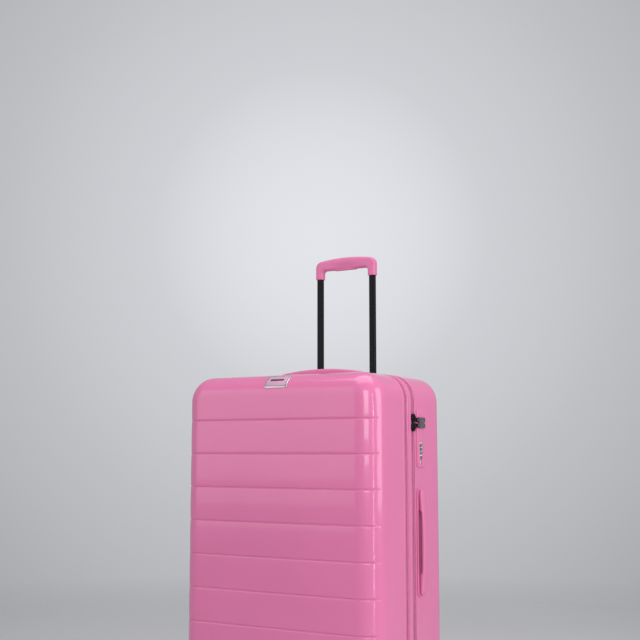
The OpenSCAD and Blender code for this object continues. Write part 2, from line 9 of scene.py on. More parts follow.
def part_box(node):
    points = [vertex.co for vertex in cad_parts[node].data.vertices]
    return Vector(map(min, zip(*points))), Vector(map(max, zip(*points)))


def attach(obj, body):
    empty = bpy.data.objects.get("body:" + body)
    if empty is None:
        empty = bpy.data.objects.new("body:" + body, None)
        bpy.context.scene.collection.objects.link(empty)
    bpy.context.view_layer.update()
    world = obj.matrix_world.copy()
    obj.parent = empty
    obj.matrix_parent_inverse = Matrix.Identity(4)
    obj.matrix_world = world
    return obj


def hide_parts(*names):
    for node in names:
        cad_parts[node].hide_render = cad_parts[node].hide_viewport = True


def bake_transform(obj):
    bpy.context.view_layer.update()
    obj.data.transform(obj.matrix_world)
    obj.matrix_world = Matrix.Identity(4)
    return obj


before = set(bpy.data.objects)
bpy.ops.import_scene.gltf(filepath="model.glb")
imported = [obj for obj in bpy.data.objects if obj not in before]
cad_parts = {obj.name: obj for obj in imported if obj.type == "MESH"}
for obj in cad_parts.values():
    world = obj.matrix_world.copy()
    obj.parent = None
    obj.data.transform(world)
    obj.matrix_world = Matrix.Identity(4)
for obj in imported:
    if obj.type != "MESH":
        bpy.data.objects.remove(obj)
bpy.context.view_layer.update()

MM = 0.001

# -------- main sizes, from the frame

FRONT_LO, FRONT_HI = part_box("front_shell")
REAR_LO, REAR_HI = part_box("rear_shell")
BAND_LO, BAND_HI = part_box("expander_band")
HALF_W = FRONT_HI.x
Z_LOW, Z_TOP = FRONT_LO.z, FRONT_HI.z
Z_MID = (Z_LOW + Z_TOP) / 2
CORNER_R = 55 * MM
EDGE_R = 47 * MM
SIDE_INSET = 0.8 * MM
SHELL_WALL = 2.4 * MM
CLOTH = 0.7 * MM
PITCH = 71.4 * MM
GROOVES = [Z_TOP - 97.2 * MM - i * PITCH for i in range(8)]
GROOVE_END = 28 * MM
GROOVE_FULL = 14 * MM

# Lines of the outline's straight sides: close together at each groove
ROW_STEPS = (-14, -9, -6, -4, -2.8, -1.8, -0.9, 0, 0.9, 1.8, 2.8, 4, 6, 9, 14)
FINE_ROWS = sorted(
    {round(g + s * MM, 6) for g in GROOVES for s in ROW_STEPS}
    | {round(g + PITCH * f, 6) for g in GROOVES[:1] for f in (0.3, 0.45)}
    | {round(g - PITCH * f, 6) for g in GROOVES for f in (0.3, 0.4, 0.5, 0.6, 0.7)}
    | {round(Z_LOW + CORNER_R, 6), round(Z_TOP - CORNER_R, 6)}
)
FINE_ROWS = [z for z in FINE_ROWS if Z_LOW + CORNER_R - 1e-6 <= z <= Z_TOP - CORNER_R + 1e-6]
PLAIN_ROWS = list(np.linspace(Z_LOW + CORNER_R, Z_TOP - CORNER_R, 22))
COLUMNS = list(np.linspace(CORNER_R - HALF_W, HALF_W - CORNER_R, 25))
ARC_STEPS = 12


# -------- node materials

def fill_ramp(ramp, stops):
    """Sets a colour ramp node to (position, (r, g, b)) stops."""
    elements = ramp.color_ramp.elements
    while len(elements) < len(stops):
        elements.new(0.5)
    for element, (at, rgb) in zip(elements, stops):
        element.position = at
        element.color = (*rgb, 1)


class Shader:
    """A Principled material with short calls for the nodes that feed it."""

    def __init__(self, name, **values):
        self.mat = bpy.data.materials.new(name)
        self.mat.use_nodes = True
        self.tree = self.mat.node_tree
        self.out = self.tree.nodes["Principled BSDF"]
        self.coord = self.tree.nodes.new("ShaderNodeTexCoord")
        self.height = None
        for key, value in values.items():
            socket = self.out.inputs[key.replace("_", " ").title().replace("Ior", "IOR")]
            socket.default_value = value

    def node(self, kind, **values):
        made = self.tree.nodes.new(kind)
        for key, value in values.items():
            if key in made.inputs:
                made.inputs[key].default_value = value
            else:
                setattr(made, key, value)
        return made

    def link(self, a, b):
        self.tree.links.new(a, b)

    def space(self, scale):
        mapping = self.node("ShaderNodeMapping", Scale=scale)
        self.link(self.coord.outputs["Object"], mapping.inputs["Vector"])
        return mapping.outputs["Vector"]

    def noise(self, scale, detail=4.0, rough=0.55, stretch=(1, 1, 1)):
        made = self.node("ShaderNodeTexNoise", Scale=scale, Detail=detail, Roughness=rough)
        self.link(self.space(stretch), made.inputs["Vector"])
        return made.outputs["Fac"]

    def cells(self, scale, feature="F1", stretch=(1, 1, 1)):
        made = self.node("ShaderNodeTexVoronoi", Scale=scale)
        made.feature = feature
        self.link(self.space(stretch), made.inputs["Vector"])
        return made.outputs["Distance"]

    def wave(self, scale, axis="X", profile="SIN", stretch=(1, 1, 1), distortion=0.0):
        made = self.node("ShaderNodeTexWave", Scale=scale, Distortion=distortion)
        made.bands_direction = axis
        made.wave_profile = profile
        self.link(self.space(stretch), made.inputs["Vector"])
        return made.outputs["Fac"]

    def curve(self, value, lo, hi, to_lo, to_hi):
        limits = {"From Min": lo, "From Max": hi, "To Min": to_lo, "To Max": to_hi}
        made = self.node("ShaderNodeMapRange", **limits)
        self.link(value, made.inputs["Value"])
        return made.outputs["Result"]

    def math(self, operation, a, b):
        made = self.node("ShaderNodeMath")
        made.operation = operation
        for socket, value in zip(made.inputs, (a, b)):
            if isinstance(value, (int, float)):
                socket.default_value = value
            else:
                self.link(value, socket)
        return made.outputs[0]

    def colour(self, value, *stops):
        """Base colour by value: stops are (position, (r, g, b))."""
        ramp = self.node("ShaderNodeValToRGB")
        fill_ramp(ramp, stops)
        self.link(value, ramp.inputs["Fac"])
        self.link(ramp.outputs["Color"], self.out.inputs["Base Color"])
        return self

    def roughness(self, value, lo, hi):
        self.link(self.curve(value, 0.3, 0.7, lo, hi), self.out.inputs["Roughness"])
        return self

    def bump(self, value, distance, strength=1.0):
        made = self.node("ShaderNodeBump", Strength=strength, Distance=distance)
        self.link(value, made.inputs["Height"])
        if self.height is not None:
            self.link(self.height, made.inputs["Normal"])
        self.height = made.outputs["Normal"]
        self.link(self.height, self.out.inputs["Normal"])
        return self


def shades(rgb, spread):
    """The same colour a little darker and a little lighter."""
    return tuple(c * (1 - spread) for c in rgb), tuple(min(1, c * (1 + spread)) for c in rgb)


def shell_material():
    """Glossy moulded polycarbonate with faint orange peel and fine handling scratches."""
    s = Shader("shell_pink", roughness=0.24, coat_weight=0.5, coat_roughness=0.07, specular_ior_level=0.35)
    dark, light = shades(SHELL_PINK, 0.035)
    s.colour(s.noise(3.0, 3.0), (0.35, dark), (0.65, light))
    s.roughness(s.noise(26.0, 2.0), 0.22, 0.27)
    s.bump(s.noise(420.0, 2.0), 0.000008)
    return s.mat


def handle_material():
    """Softer satin plastic with a fine moulded grain."""
    s = Shader("handle_pink", roughness=0.42, specular_ior_level=0.45)
    dark, light = shades(HANDLE_PINK, 0.04)
    s.colour(s.noise(9.0, 3.0), (0.35, dark), (0.65, light))
    s.roughness(s.noise(60.0, 4.0), 0.36, 0.50)
    s.bump(s.cells(1500.0), 0.00004)
    s.bump(s.noise(60.0, 2.0), 0.00008)
    return s.mat


def plastic_material(name, rgb, rough, grain=1300.0):
    """Moulded plastic with spark-eroded grain."""
    s = Shader(name, roughness=rough, specular_ior_level=0.45)
    dark, light = shades(rgb, 0.12)
    s.colour(s.noise(18.0, 4.0), (0.35, dark), (0.65, light))
    s.roughness(s.noise(90.0, 4.0), rough - 0.06, rough + 0.08)
    s.bump(s.cells(grain), 0.00006)
    return s.mat


def metal_material(name, rgb, rough, brush=(1, 1, 0.02), metallic=1.0, mark=0.00002, gloss=0.5):
    """Metal with fine lines along one axis."""
    s = Shader(name, roughness=rough, metallic=metallic, specular_ior_level=gloss)
    dark, light = shades(rgb, 0.08)
    s.colour(s.noise(40.0, 4.0, stretch=brush), (0.3, dark), (0.7, light))
    s.roughness(s.noise(300.0, 4.0, stretch=brush), max(0.04, rough - 0.08), rough + 0.10)
    s.bump(s.noise(1400.0, 2.0, stretch=brush), mark)
    return s.mat


def weave_material(name, rgb, pitch, deep=0.00012, sheen=0.25):
    """Plain weave: two crossing sets of threads, with slubs and worn patches."""
    s = Shader(name, roughness=0.85, sheen_weight=sheen, specular_ior_level=0.25)
    lines = 1 / pitch / 6.283 * 3.1416  # wave texture scale: about 1.6 waves to a pitch
    across = s.wave(lines, "X", stretch=(1, 1, 0))
    down = s.wave(lines, "Z", stretch=(0, 1, 1))
    deep_y = s.wave(lines, "Y", stretch=(0, 1, 0))
    threads = s.math("MAXIMUM", s.math("MULTIPLY", across, deep_y), s.math("MULTIPLY", down, across))
    dark, light = shades(rgb, 0.22)
    s.colour(s.math("ADD", s.math("MULTIPLY", threads, 0.4), s.math("MULTIPLY", s.noise(120.0), 0.6)),
             (0.25, dark), (0.7, light))
    s.roughness(s.noise(50.0), 0.78, 0.92)
    s.bump(threads, deep)
    s.bump(s.noise(35.0, 3.0), 0.0004)
    return s.mat


def rubber_material():
    """Wheel tread: dull, with dust in its pores."""
    s = Shader("wheel_rubber", roughness=0.7, specular_ior_level=0.3)
    s.colour(s.noise(70.0, 5.0), (0.35, (0.014, 0.014, 0.015)), (0.72, (0.045, 0.043, 0.042)))
    s.roughness(s.noise(45.0), 0.55, 0.8)
    s.bump(s.noise(700.0, 3.0), 0.00012)
    return s.mat


SHELL_PINK = (0.70, 0.175, 0.365)
HANDLE_PINK = (0.68, 0.175, 0.36)
SHELL = shell_material()
HANDLE = handle_material()
ZIP_TAPE = weave_material("zip_tape", (0.55, 0.145, 0.295), 0.0009, deep=0.00005, sheen=0.1)
ZIP_TEETH = plastic_material("zip_teeth", (0.46, 0.115, 0.245), 0.38)
LINING = weave_material("lining_cloth", (0.16, 0.16, 0.175), 0.0011)
WEBBING = weave_material("strap_web", (0.018, 0.018, 0.02), 0.0016, deep=0.0003)
BLACK = plastic_material("black_plastic", (0.016, 0.016, 0.018), 0.45)
POST_BLACK = metal_material("post_black", (0.006, 0.006, 0.008), 0.25, metallic=0.0, gloss=0.12)
SLIDER_BLACK = metal_material("slider_black", (0.007, 0.007, 0.009), 0.28, brush=(1, 1, 1), metallic=0.0,
                              gloss=0.15)
TAB_GREY = metal_material("tab_grey", (0.10, 0.085, 0.10), 0.32, brush=(1, 0.05, 1), metallic=0.0, gloss=0.4)
SILVER = metal_material("silver_trim", (0.78, 0.78, 0.80), 0.16, brush=(0.05, 1, 1))
STEEL = metal_material("screw_steel", (0.55, 0.55, 0.56), 0.32, brush=(1, 1, 1))
TUBE = metal_material("tube_metal", (0.6, 0.6, 0.62), 0.34)
DIAL = plastic_material("dial_plastic", (0.74, 0.72, 0.68), 0.35)
DIAL_INK = plastic_material("dial_ink", (0.03, 0.03, 0.035), 0.5)
BADGE = plastic_material("badge_plate", (0.66, 0.36, 0.50), 0.28, grain=2500.0)
RUBBER = rubber_material()


# -------- mesh tools

def middle(lo, hi):
    """Centre of a box, as three plain numbers."""
    return tuple((a + b) / 2 for a, b in zip(lo, hi))


def span(lo, hi):
    """Sides of a box, as three plain numbers."""
    return tuple(b - a for a, b in zip(lo, hi))


def add_object(name, data, *materials):
    """A new object in the scene."""
    made = bpy.data.objects.new(name, data)
    bpy.context.scene.collection.objects.link(made)
    for material in materials:
        data.materials.append(material)
    return made


def add_mesh(name, verts, faces, *materials):
    """A new object with these points and faces."""
    mesh = bpy.data.meshes.new(name)
    mesh.from_pydata([tuple(v) for v in verts], [], [tuple(f) for f in faces])
    return add_object(name, mesh, *materials)


def make(name, verts, faces, material, sharp=38.0):
    """A smooth-shaded object, with creases where faces meet at more than sharp degrees."""
    made = add_mesh(name, verts, faces, material)
    tidy(made, sharp)
    return made


def tidy(piece, sharp=38.0, turn_out=True):
    """Welds, turns every face outwards and sets the creases."""
    mesh = piece.data
    work = bmesh.new()
    work.from_mesh(mesh)
    bmesh.ops.remove_doubles(work, verts=work.verts, dist=1e-6)
    bmesh.ops.dissolve_degenerate(work, edges=work.edges, dist=1e-7)
    if turn_out:
        bmesh.ops.recalc_face_normals(work, faces=work.faces)
    work.to_mesh(mesh)
    work.free()
    mesh.polygons.foreach_set("use_smooth", [True] * len(mesh.polygons))
    mesh.set_sharp_from_angle(angle=math.radians(sharp))


def place(piece, body, slot, *nodes):
    """Rides the piece on its body and hides the CAD nodes that it stands for; the slot is not used."""
    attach(piece, body)
    if nodes:
        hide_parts(*nodes)
    return piece


def bake(piece):
    """Replaces the mesh by what its modifiers make of it."""
    bpy.context.view_layer.update()
    view = bpy.context.evaluated_depsgraph_get()
    mesh = bpy.data.meshes.new_from_object(piece.evaluated_get(view))
    old = piece.data
    piece.modifiers.clear()
    piece.data = mesh
    mesh.name = piece.name
    bpy.data.meshes.remove(old)
    return piece


def thicken(piece, thickness, offset, sharp):
    """Gives a skin a wall: inwards from it at offset -1, to both sides at offset 0."""
    wall = piece.modifiers.new("wall", "SOLIDIFY")
    wall.thickness, wall.offset, wall.use_even_offset = thickness, offset, False
    bake(piece)
    tidy(piece, sharp, turn_out=False)
    return piece


def carve(piece, *cutters, sharp=38.0):
    """Cuts the cutters out of the piece and removes them."""
    for cutter in cutters:
        cut = piece.modifiers.new("cut", "BOOLEAN")
        cut.operation = "DIFFERENCE"
        cut.solver = "EXACT"
        cut.object = cutter
    bake(piece)
    for cutter in cutters:
        bpy.data.objects.remove(cutter)
    tidy(piece, sharp, turn_out=False)
    return piece


def join(name, pieces, sharp=38.0):
    """Several objects as one, keeping each one's materials."""
    bpy.context.view_layer.update()
    verts, faces, slots, materials = [], [], [], []
    for piece in pieces:
        start = len(verts)
        verts += [piece.matrix_world @ v.co for v in piece.data.vertices]
        for face in piece.data.polygons:
            faces.append([start + i for i in face.vertices])
            material = piece.data.materials[face.material_index]
            if material not in materials:
                materials.append(material)
            slots.append(materials.index(material))
        bpy.data.objects.remove(piece)
    made = add_mesh(name, verts, faces, *materials)
    mesh = made.data
    mesh.polygons.foreach_set("material_index", slots)
    mesh.polygons.foreach_set("use_smooth", [True] * len(faces))
    mesh.set_sharp_from_angle(angle=math.radians(sharp))
    return made


def loft(name, loops, material, caps=(True, True), closed=False, sharp=38.0, where=None):
    """Skin through loops of points that all have the same count."""
    count = len(loops[0])
    verts = [p for loop in loops for p in loop]
    faces = []
    rings = len(loops) if closed else len(loops) - 1
    for k in range(rings):
        a, b = k * count, (k + 1) % len(loops) * count
        for i in range(count):
            j = (i + 1) % count
            faces.append((a + i, a + j, b + j, b + i))
    if not closed:
        if caps[0]:
            faces.append(tuple(range(count)))
        if caps[1]:
            faces.append(tuple((len(loops) - 1) * count + i for i in range(count)))
    if where is not None:
        verts = [where @ Vector(v) for v in verts]
    return make(name, verts, faces, material, sharp)


def round_rect(w, h, r, steps=6):
    """Points of a rectangle round the origin with round corners, anticlockwise."""
    r = max(min(r, w / 2 - 1e-6, h / 2 - 1e-6), 1e-6)
    points = []
    for cx, cy, turn in ((1, 1, 0), (-1, 1, 90), (-1, -1, 180), (1, -1, 270)):
        for k in range(steps + 1):
            a = math.radians(turn + 90 * k / steps)
            points.append((cx * (w / 2 - r) + r * math.cos(a), cy * (h / 2 - r) + r * math.sin(a)))
    return points


def bevel_steps(bevel, steps=4):
    """(inset, drop) pairs round a quarter-round edge, from the side to the top."""
    return [(bevel * (1 - math.cos(a)), bevel * (1 - math.sin(a)))
            for a in (math.pi / 2 * k / steps for k in range(steps + 1))]


def pad(name, w, h, r, t, bevel, material, where=None, both=False, z0=0.0, steps=6):
    """A round-cornered plate from z0 to z0 + t with a quarter-round top edge, and bottom edge if both."""
    edge = bevel_steps(bevel)
    levels = [(inset, z0 + drop) for inset, drop in reversed(edge)] if both else [(0, z0)]
    levels += [(inset, z0 + t - drop) for inset, drop in edge]
    loops = [[(x, y, z) for x, y in round_rect(w - 2 * inset, h - 2 * inset, r - inset, steps)]
             for inset, z in levels]
    return loft(name, loops, material, where=where)


def inset_outline(points, amount):
    """An outline moved inwards by amount at every corner, for outlines drawn anticlockwise."""
    made = []
    count = len(points)
    for i, p in enumerate(points):
        a, b = Vector(points[i - 1]), Vector(points[(i + 1) % count])
        p = Vector(p)
        d0, d1 = (p - a).normalized(), (b - p).normalized()
        n0, n1 = Vector((-d0.y, d0.x)), Vector((-d1.y, d1.x))
        mid = n0 + n1
        scale = amount / max(0.35, mid.length_squared / 2)
        made.append(p + mid * scale)
    return made


def slab(name, points, y0, y1, bevel, material, steps=4, sharp=38.0, where=None):
    """An outline in X and Z, from y0 to y1, with round edges on both faces."""
    edge = bevel_steps(bevel, steps)
    levels = [(inset, y0 + drop) for inset, drop in reversed(edge)]
    levels += [(inset, y1 - drop) for inset, drop in edge]
    loops = [[(p.x, y, p.y) for p in inset_outline(points, inset)] for inset, y in levels]
    return loft(name, loops, material, sharp=sharp, where=where)


def lathe(name, profile, material, where=None, steps=48, sharp=38.0):
    """A closed profile of (radius, height) turned about Z."""
    loops = []
    for k in range(steps):
        a = 2 * math.pi * k / steps
        loops.append([(r * math.cos(a), r * math.sin(a), z) for r, z in profile])
    return loft(name, loops, material, closed=True, sharp=sharp, where=where)


def cylinder(name, r, z0, z1, material, where, steps):
    """A plain round bar along Z."""
    return lathe(name, [(0, z0), (r, z0), (r, z1), (0, z1)], material, where=where, steps=steps)


def cutter(w, h, r, t, material, where, z0=0.0, steps=6):
    """A round-cornered plug, to be cut out of a piece."""
    return pad("cutter", w, h, r, t, 0.1 * MM, material, where=where, z0=z0, steps=steps)


def block(name, lo, hi, material, bevel=0.0):
    """A box between two corners, with round edges if bevel is given."""
    lo, hi = Vector(lo), Vector(hi)
    work = bmesh.new()
    bmesh.ops.create_cube(work, size=1)
    for v in work.verts:
        v.co = Vector([(lo[i] + hi[i]) / 2 + v.co[i] * (hi[i] - lo[i]) for i in range(3)])
    if bevel:
        bmesh.ops.bevel(work, geom=list(work.edges), offset=bevel, segments=3, profile=0.5, affect="EDGES")
    mesh = bpy.data.meshes.new(name)
    work.to_mesh(mesh)
    work.free()
    made = add_object(name, mesh, material)
    tidy(made)
    return made


def in_mm(points):
    """Points given in millimetres, in metres."""
    return [(a * MM, b * MM) for a, b in points]


def soft_ring(steps, power):
    """Unit ring of a square with soft corners, as (across, up)."""
    ring = []
    for k in range(steps):
        a = 2 * math.pi * k / steps
        c, s = math.cos(a), math.sin(a)
        ring.append((math.copysign(abs(c) ** power, c), math.copysign(abs(s) ** power, s)))
    return ring


def walk(points):
    """The points with the first one again at the end, and the length walked up to each."""
    closed = np.vstack([points, points[:1]])
    return closed, np.concatenate([[0], np.cumsum(np.linalg.norm(np.diff(closed, axis=0), axis=1))])


def smooth(x, lo, hi):
    """Rises smoothly from 0 at lo to 1 at hi."""
    u = np.clip((x - lo) / (hi - lo), 0, 1)
    return u * u * (3 - 2 * u)


def barrel(x, z):
    """The body is a touch narrower at its top and bottom than at its middle."""
    return x * (1 - 0.0035 * ((z - Z_MID) / (Z_TOP - Z_MID)) ** 2)


# -------- body surfaces

def outline(inset, rows, columns=COLUMNS, arc=ARC_STEPS):
    """Points and outward normals (x, z) round the body, inset below its surface, anticlockwise."""
    points, normals = [], []
    x_mid, z_hi, z_lo = HALF_W - CORNER_R, Z_TOP - CORNER_R, Z_LOW + CORNER_R
    r = CORNER_R - inset

    def side(values, fixed, axis, sign):
        for v in values:
            points.append((sign * (HALF_W - inset), v) if axis == 0 else (v, fixed))
            normals.append((sign, 0) if axis == 0 else (0, sign))

    def corner(cx, cz, turn):
        for k in range(1, arc):
            a = math.radians(turn + 90 * k / arc)
            points.append((cx + r * math.cos(a), cz + r * math.sin(a)))
            normals.append((math.cos(a), math.sin(a)))

    side(rows, None, 0, 1)
    corner(x_mid, z_hi, 0)
    side(columns[::-1], Z_TOP - inset, 1, 1)
    corner(-x_mid, z_hi, 90)
    side(rows[::-1], None, 0, -1)
    corner(-x_mid, z_lo, 180)
    side(columns, Z_LOW + inset, 1, -1)
    corner(x_mid, z_lo, 270)
    return np.array(points), np.array(normals)


def panel_dent(z):
    """How far the surface lies below the crown of its panel, at height z."""
    nearest = np.min([np.abs(z - g) for g in GROOVES], axis=0)
    notch = 1.7 * MM * np.exp(-(nearest / (1.5 * MM)) ** 2)
    pillow = 0.7 * MM * np.clip(1 - nearest / (PITCH / 2), 0, 1) ** 2
    return notch + pillow


def shell(name, plane, rim, side):
    """One pressed shell: bead at the rim, rounded edges, and a panel of grooves."""
    depth = abs(rim - plane)
    bead = ((0, 0.9), (0.35, 0.3), (1.0, 0.02), (1.8, 0), (2.8, 0.15), (3.8, 0.6), (5.0, 0.9),
            (7.0, 1.0), (10, 0.95), (13, 0.85), (16, 0.8), (20, 0.8))
    stations = [(inset * MM, depth - back * MM, 0.0) for back, inset in bead]
    start = depth - 26 * MM
    count = max(4, int((start - EDGE_R) / (5 * MM)))
    stations += [(SIDE_INSET, d, 0.0) for d in np.linspace(start, EDGE_R + 3 * MM, count)]
    for k in range(15):
        a = math.pi / 2 * k / 14
        stations.append((SIDE_INSET + EDGE_R * (1 - math.cos(a)), EDGE_R * (1 - math.sin(a)), a))
    flat = SIDE_INSET + EDGE_R
    stations += [(flat + (CORNER_R - flat) * f, 0.0, math.pi / 2) for f in (0.5, 0.999)]
    rings = []
    for inset, d, a in stations:
        at, n = outline(inset, FINE_ROWS)
        held = 1 - smooth(np.full(len(at), d), GROOVE_FULL, GROOVE_END)
        dent = panel_dent(at[:, 1]) * held
        normal = np.stack([n[:, 0] * math.cos(a), np.full(len(at), side * math.sin(a)),
                           n[:, 1] * math.cos(a)], 1)
        ring = np.stack([barrel(at[:, 0], at[:, 1]), np.full(len(at), plane - side * d), at[:, 1]], 1)
        rings.append(ring - normal * dent[:, None])
    verts = [tuple(p) for ring in rings for p in ring]
    n = len(rings[0])
    faces = []
    for k in range(len(rings) - 1):
        for i in range(n):
            j = (i + 1) % n
            faces.append((k * n + i, k * n + j, (k + 1) * n + j, (k + 1) * n + i))
    start = len(verts)
    z_rows = [p[2] for p in rings[-1][:len(FINE_ROWS)]]
    for z in z_rows:
        dent = float(panel_dent(np.array([z]))[0])
        for x in COLUMNS:
            verts.append((barrel(x, z), plane - side * dent, z))
    wide = len(COLUMNS)
    for r in range(len(z_rows) - 1):
        for c in range(wide - 1):
            a = start + r * wide + c
            faces.append((a, a + 1, a + wide + 1, a + wide))
    if side > 0:
        faces = [face[::-1] for face in faces]
    made = add_mesh(name, verts, faces, SHELL)
    work = bmesh.new()
    work.from_mesh(made.data)
    bmesh.ops.remove_doubles(work, verts=work.verts, dist=0.08 * MM)
    work.to_mesh(made.data)
    work.free()
    return thicken(made, SHELL_WALL, -1, 50.0)


def hoop(name, profile, material, sharp=38.0):
    """A closed profile of (y, inset), swept round the body."""
    loops = []
    for y, inset in profile:
        at, _ = outline(inset, PLAIN_ROWS, COLUMNS[::3])
        loops.append([(barrel(x, z), y, z) for x, z in at])
    return loft(name, loops, material, closed=True, sharp=sharp)


TOOTH_PITCH = 2.6 * MM


def teeth(name, y_line, side, inset, material):
    """A row of moulded coil teeth beside a zip line, all round the body."""
    at, normal = outline(inset, PLAIN_ROWS, COLUMNS[::3])
    closed, run = walk(at)
    turned = np.vstack([normal, normal[:1]])
    count = int(run[-1] / TOOTH_PITCH)
    verts, faces = [], []
    shift = 0 if side > 0 else 0.5
    section = [(-0.5, -0.6), (0.5, -0.6), (0.62, 0.1), (0.3, 0.55), (-0.3, 0.55), (-0.62, 0.1)]
    for k in range(count):
        s = (k + shift) / count * run[-1]
        p = np.array([np.interp(s, run, closed[:, i]) for i in (0, 1)])
        n = np.array([np.interp(s, run, turned[:, i]) for i in (0, 1)])
        n /= np.linalg.norm(n)
        t = np.array([-n[1], n[0]])
        start = len(verts)
        for along, small in ((0.4, 0.75), (0.9, 1.0), (3.0, 1.0), (3.5, 0.7)):
            y = y_line + side * along * MM
            for u, v in section:
                q = p + t * u * small * MM * 1.55 + n * v * small * MM * 1.5
                verts.append((barrel(q[0], q[1]), y, q[1]))
        for r in range(3):
            for i in range(6):
                j = (i + 1) % 6
                a, b = start + r * 6, start + (r + 1) * 6
                faces.append((a + i, a + j, b + j, b + i))
        faces.append(tuple(start + i for i in range(6)))
        faces.append(tuple(start + 18 + i for i in range(6)))
    return make(name, verts, faces, material, sharp=60)


# -------- shells, band and zips

def local_frame(origin, x_axis, y_axis):
    """Matrix whose local X and Y run along the given axes from the origin."""
    x, y = Vector(x_axis), Vector(y_axis)
    z = x.cross(y)
    made = Matrix((x, y, z)).transposed().to_4x4()
    made.translation = Vector(origin)
    return made


def side_frame(y, z, x=HALF_W):
    """Frame on the lock side: local X towards the back, local Y up, local Z outwards."""
    return local_frame((x, y, z), (0, 1, 0), (0, 0, 1))


TOP_HANDLE_LO, TOP_HANDLE_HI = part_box("top_handle")
SIDE_HANDLE_LO, SIDE_HANDLE_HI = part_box("side_handle")
HANDLE_Y = (TOP_HANDLE_LO.y + TOP_HANDLE_HI.y) / 2
SIDE_HANDLE_Z = (SIDE_HANDLE_LO.z + SIDE_HANDLE_HI.z) / 2
ON_TOP = local_frame((0, HANDLE_Y, Z_TOP), (1, 0, 0), (0, 1, 0))
ON_SIDE = local_frame((HALF_W, HANDLE_Y, SIDE_HANDLE_Z), (0, 0, -1), (0, 1, 0))
LOCK_LO, LOCK_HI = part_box("lock_housing")
LOCK_Y, LOCK_Z = middle(LOCK_LO, LOCK_HI)[1:]
LOCK_T, LOCK_W, LOCK_H = span(LOCK_LO, LOCK_HI)
BEZEL_LO, BEZEL_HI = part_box("trolley_bezel")
CUP_LEN, CUP_W = 206 * MM, 22 * MM

front_shell = shell("front_shell_skin", FRONT_LO.y, FRONT_HI.y, -1)
place(front_shell, "front_case", "shell_pink", "front_shell")

rear_shell = shell("rear_shell_skin", REAR_HI.y, REAR_LO.y, 1)
cuts = [cutter(w - MM, h - MM, r * MM, 16 * MM, SHELL, where, -8 * MM)
        for w, h, r, where in ((CUP_LEN, CUP_W, 10, ON_TOP), (CUP_LEN, CUP_W, 10, ON_SIDE),
                               (LOCK_W, LOCK_H, 4, side_frame(LOCK_Y, LOCK_Z)))]
cuts.append(block("cut_bezel", BEZEL_LO + Vector((0.6, 0.6, 0.6)) * MM,
                  BEZEL_HI + Vector((-0.6, 9, 9)) * MM, SHELL))
carve(rear_shell, *cuts, sharp=50.0)
place(rear_shell, "rear_case", "shell_pink", "rear_shell")

Y_EXP = (FRONT_HI.y + BAND_LO.y) / 2
Y_MAIN = (BAND_HI.y + REAR_LO.y) / 2
band_mid = (BAND_LO.y + BAND_HI.y) / 2
band_half = (BAND_HI.y - BAND_LO.y) / 2
band_profile = [(-1, 1.2), (-0.93, 0.35), (-0.78, 0), (-0.6, 0.15), (-0.38, 0.9), (0, 1.15), (0.38, 0.9),
                (0.6, 0.15), (0.78, 0), (0.93, 0.35), (1, 1.2), (1, 2.8), (-1, 2.8)]
band = hoop("expander_band_skin", [(band_mid + u * band_half, i * MM) for u, i in band_profile], SHELL)
place(band, "front_frame", "shell_pink", "expander_band")


def tape(name, y_line, side, reach):
    """Woven tape beside a zip line, with a raised cord near the teeth."""
    profile = [(0.9, 2.6), (1.1, 1.4), (4.2, 1.3), (5.0, 1.05), (5.9, 1.4), (7.8, 1.6), (9.5, 2.5),
               (reach, 2.5), (reach, 3.1), (0.9, 3.1)]
    return hoop(name, [(y_line + side * y * MM, i * MM) for y, i in profile], ZIP_TAPE)


for line, body, side, node, label in (
    (Y_EXP, "front_case", -1, "front_zip", "expansion_front"),
    (Y_EXP, "front_frame", 1, None, "expansion_rear"),
    (Y_MAIN, "front_frame", -1, "band_zips", "main_front"),
    (Y_MAIN, "rear_case", 1, "rear_zip", "main_rear"),
):
    reach = 16 if body != "front_frame" else 13.5
    woven = tape(f"zip_tape_{label}", line, side, reach)
    row = teeth(f"zip_teeth_{label}", line, side, 1.75 * MM, ZIP_TEETH)
    zip_nodes = (node,) if node else ()
    place(woven, body, "zip_pink", *zip_nodes)
    place(row, body, "zip_pink")

gusset_outer = [(BAND_HI.y - MM, 4.3 * MM), (BAND_LO.y + MM, 4.3 * MM)]
gusset_outer += [(BAND_LO.y - (2 + 5.6 * k) * MM, (5.0 if k % 2 else 5.7) * MM) for k in range(9)]
gusset_inner = [(y, i + 0.5 * MM) for y, i in reversed(gusset_outer)]
gusset = hoop("expander_gusset_cloth", gusset_outer + gusset_inner, LINING)
place(gusset, "front_frame", "lining_cloth", "expander_gusset")


ring_line, _ = outline(3 * MM, PLAIN_ROWS, COLUMNS[::3])


# -------- carry handles

def handle_base(name, where):
    """Flange, rounded lip and finger cup of a carry handle, as one closed moulding."""
    steps = [(206, 22, -14), (206, 22, -0.6), (227, 25.4, -0.6), (228, 26, 0.5), (227.4, 25.4, 1.1),
             (226, 24, 1.5), (224, 22.6, 1.6), (147, 20.6, 1.6), (144.5, 19, 1.35), (143, 18, 0.5),
             (142, 17.4, -1.5), (139, 15.5, -9), (136, 13, -11.4), (130, 9, -12.2), (114, 3, -12.4)]
    loops = [[(x, y, z * MM) for x, y in round_rect(w * MM, h * MM, h * MM / 2 - 0.3 * MM, 10)]
             for w, h, z in steps]
    return loft(name, loops, HANDLE, where=where, sharp=50)


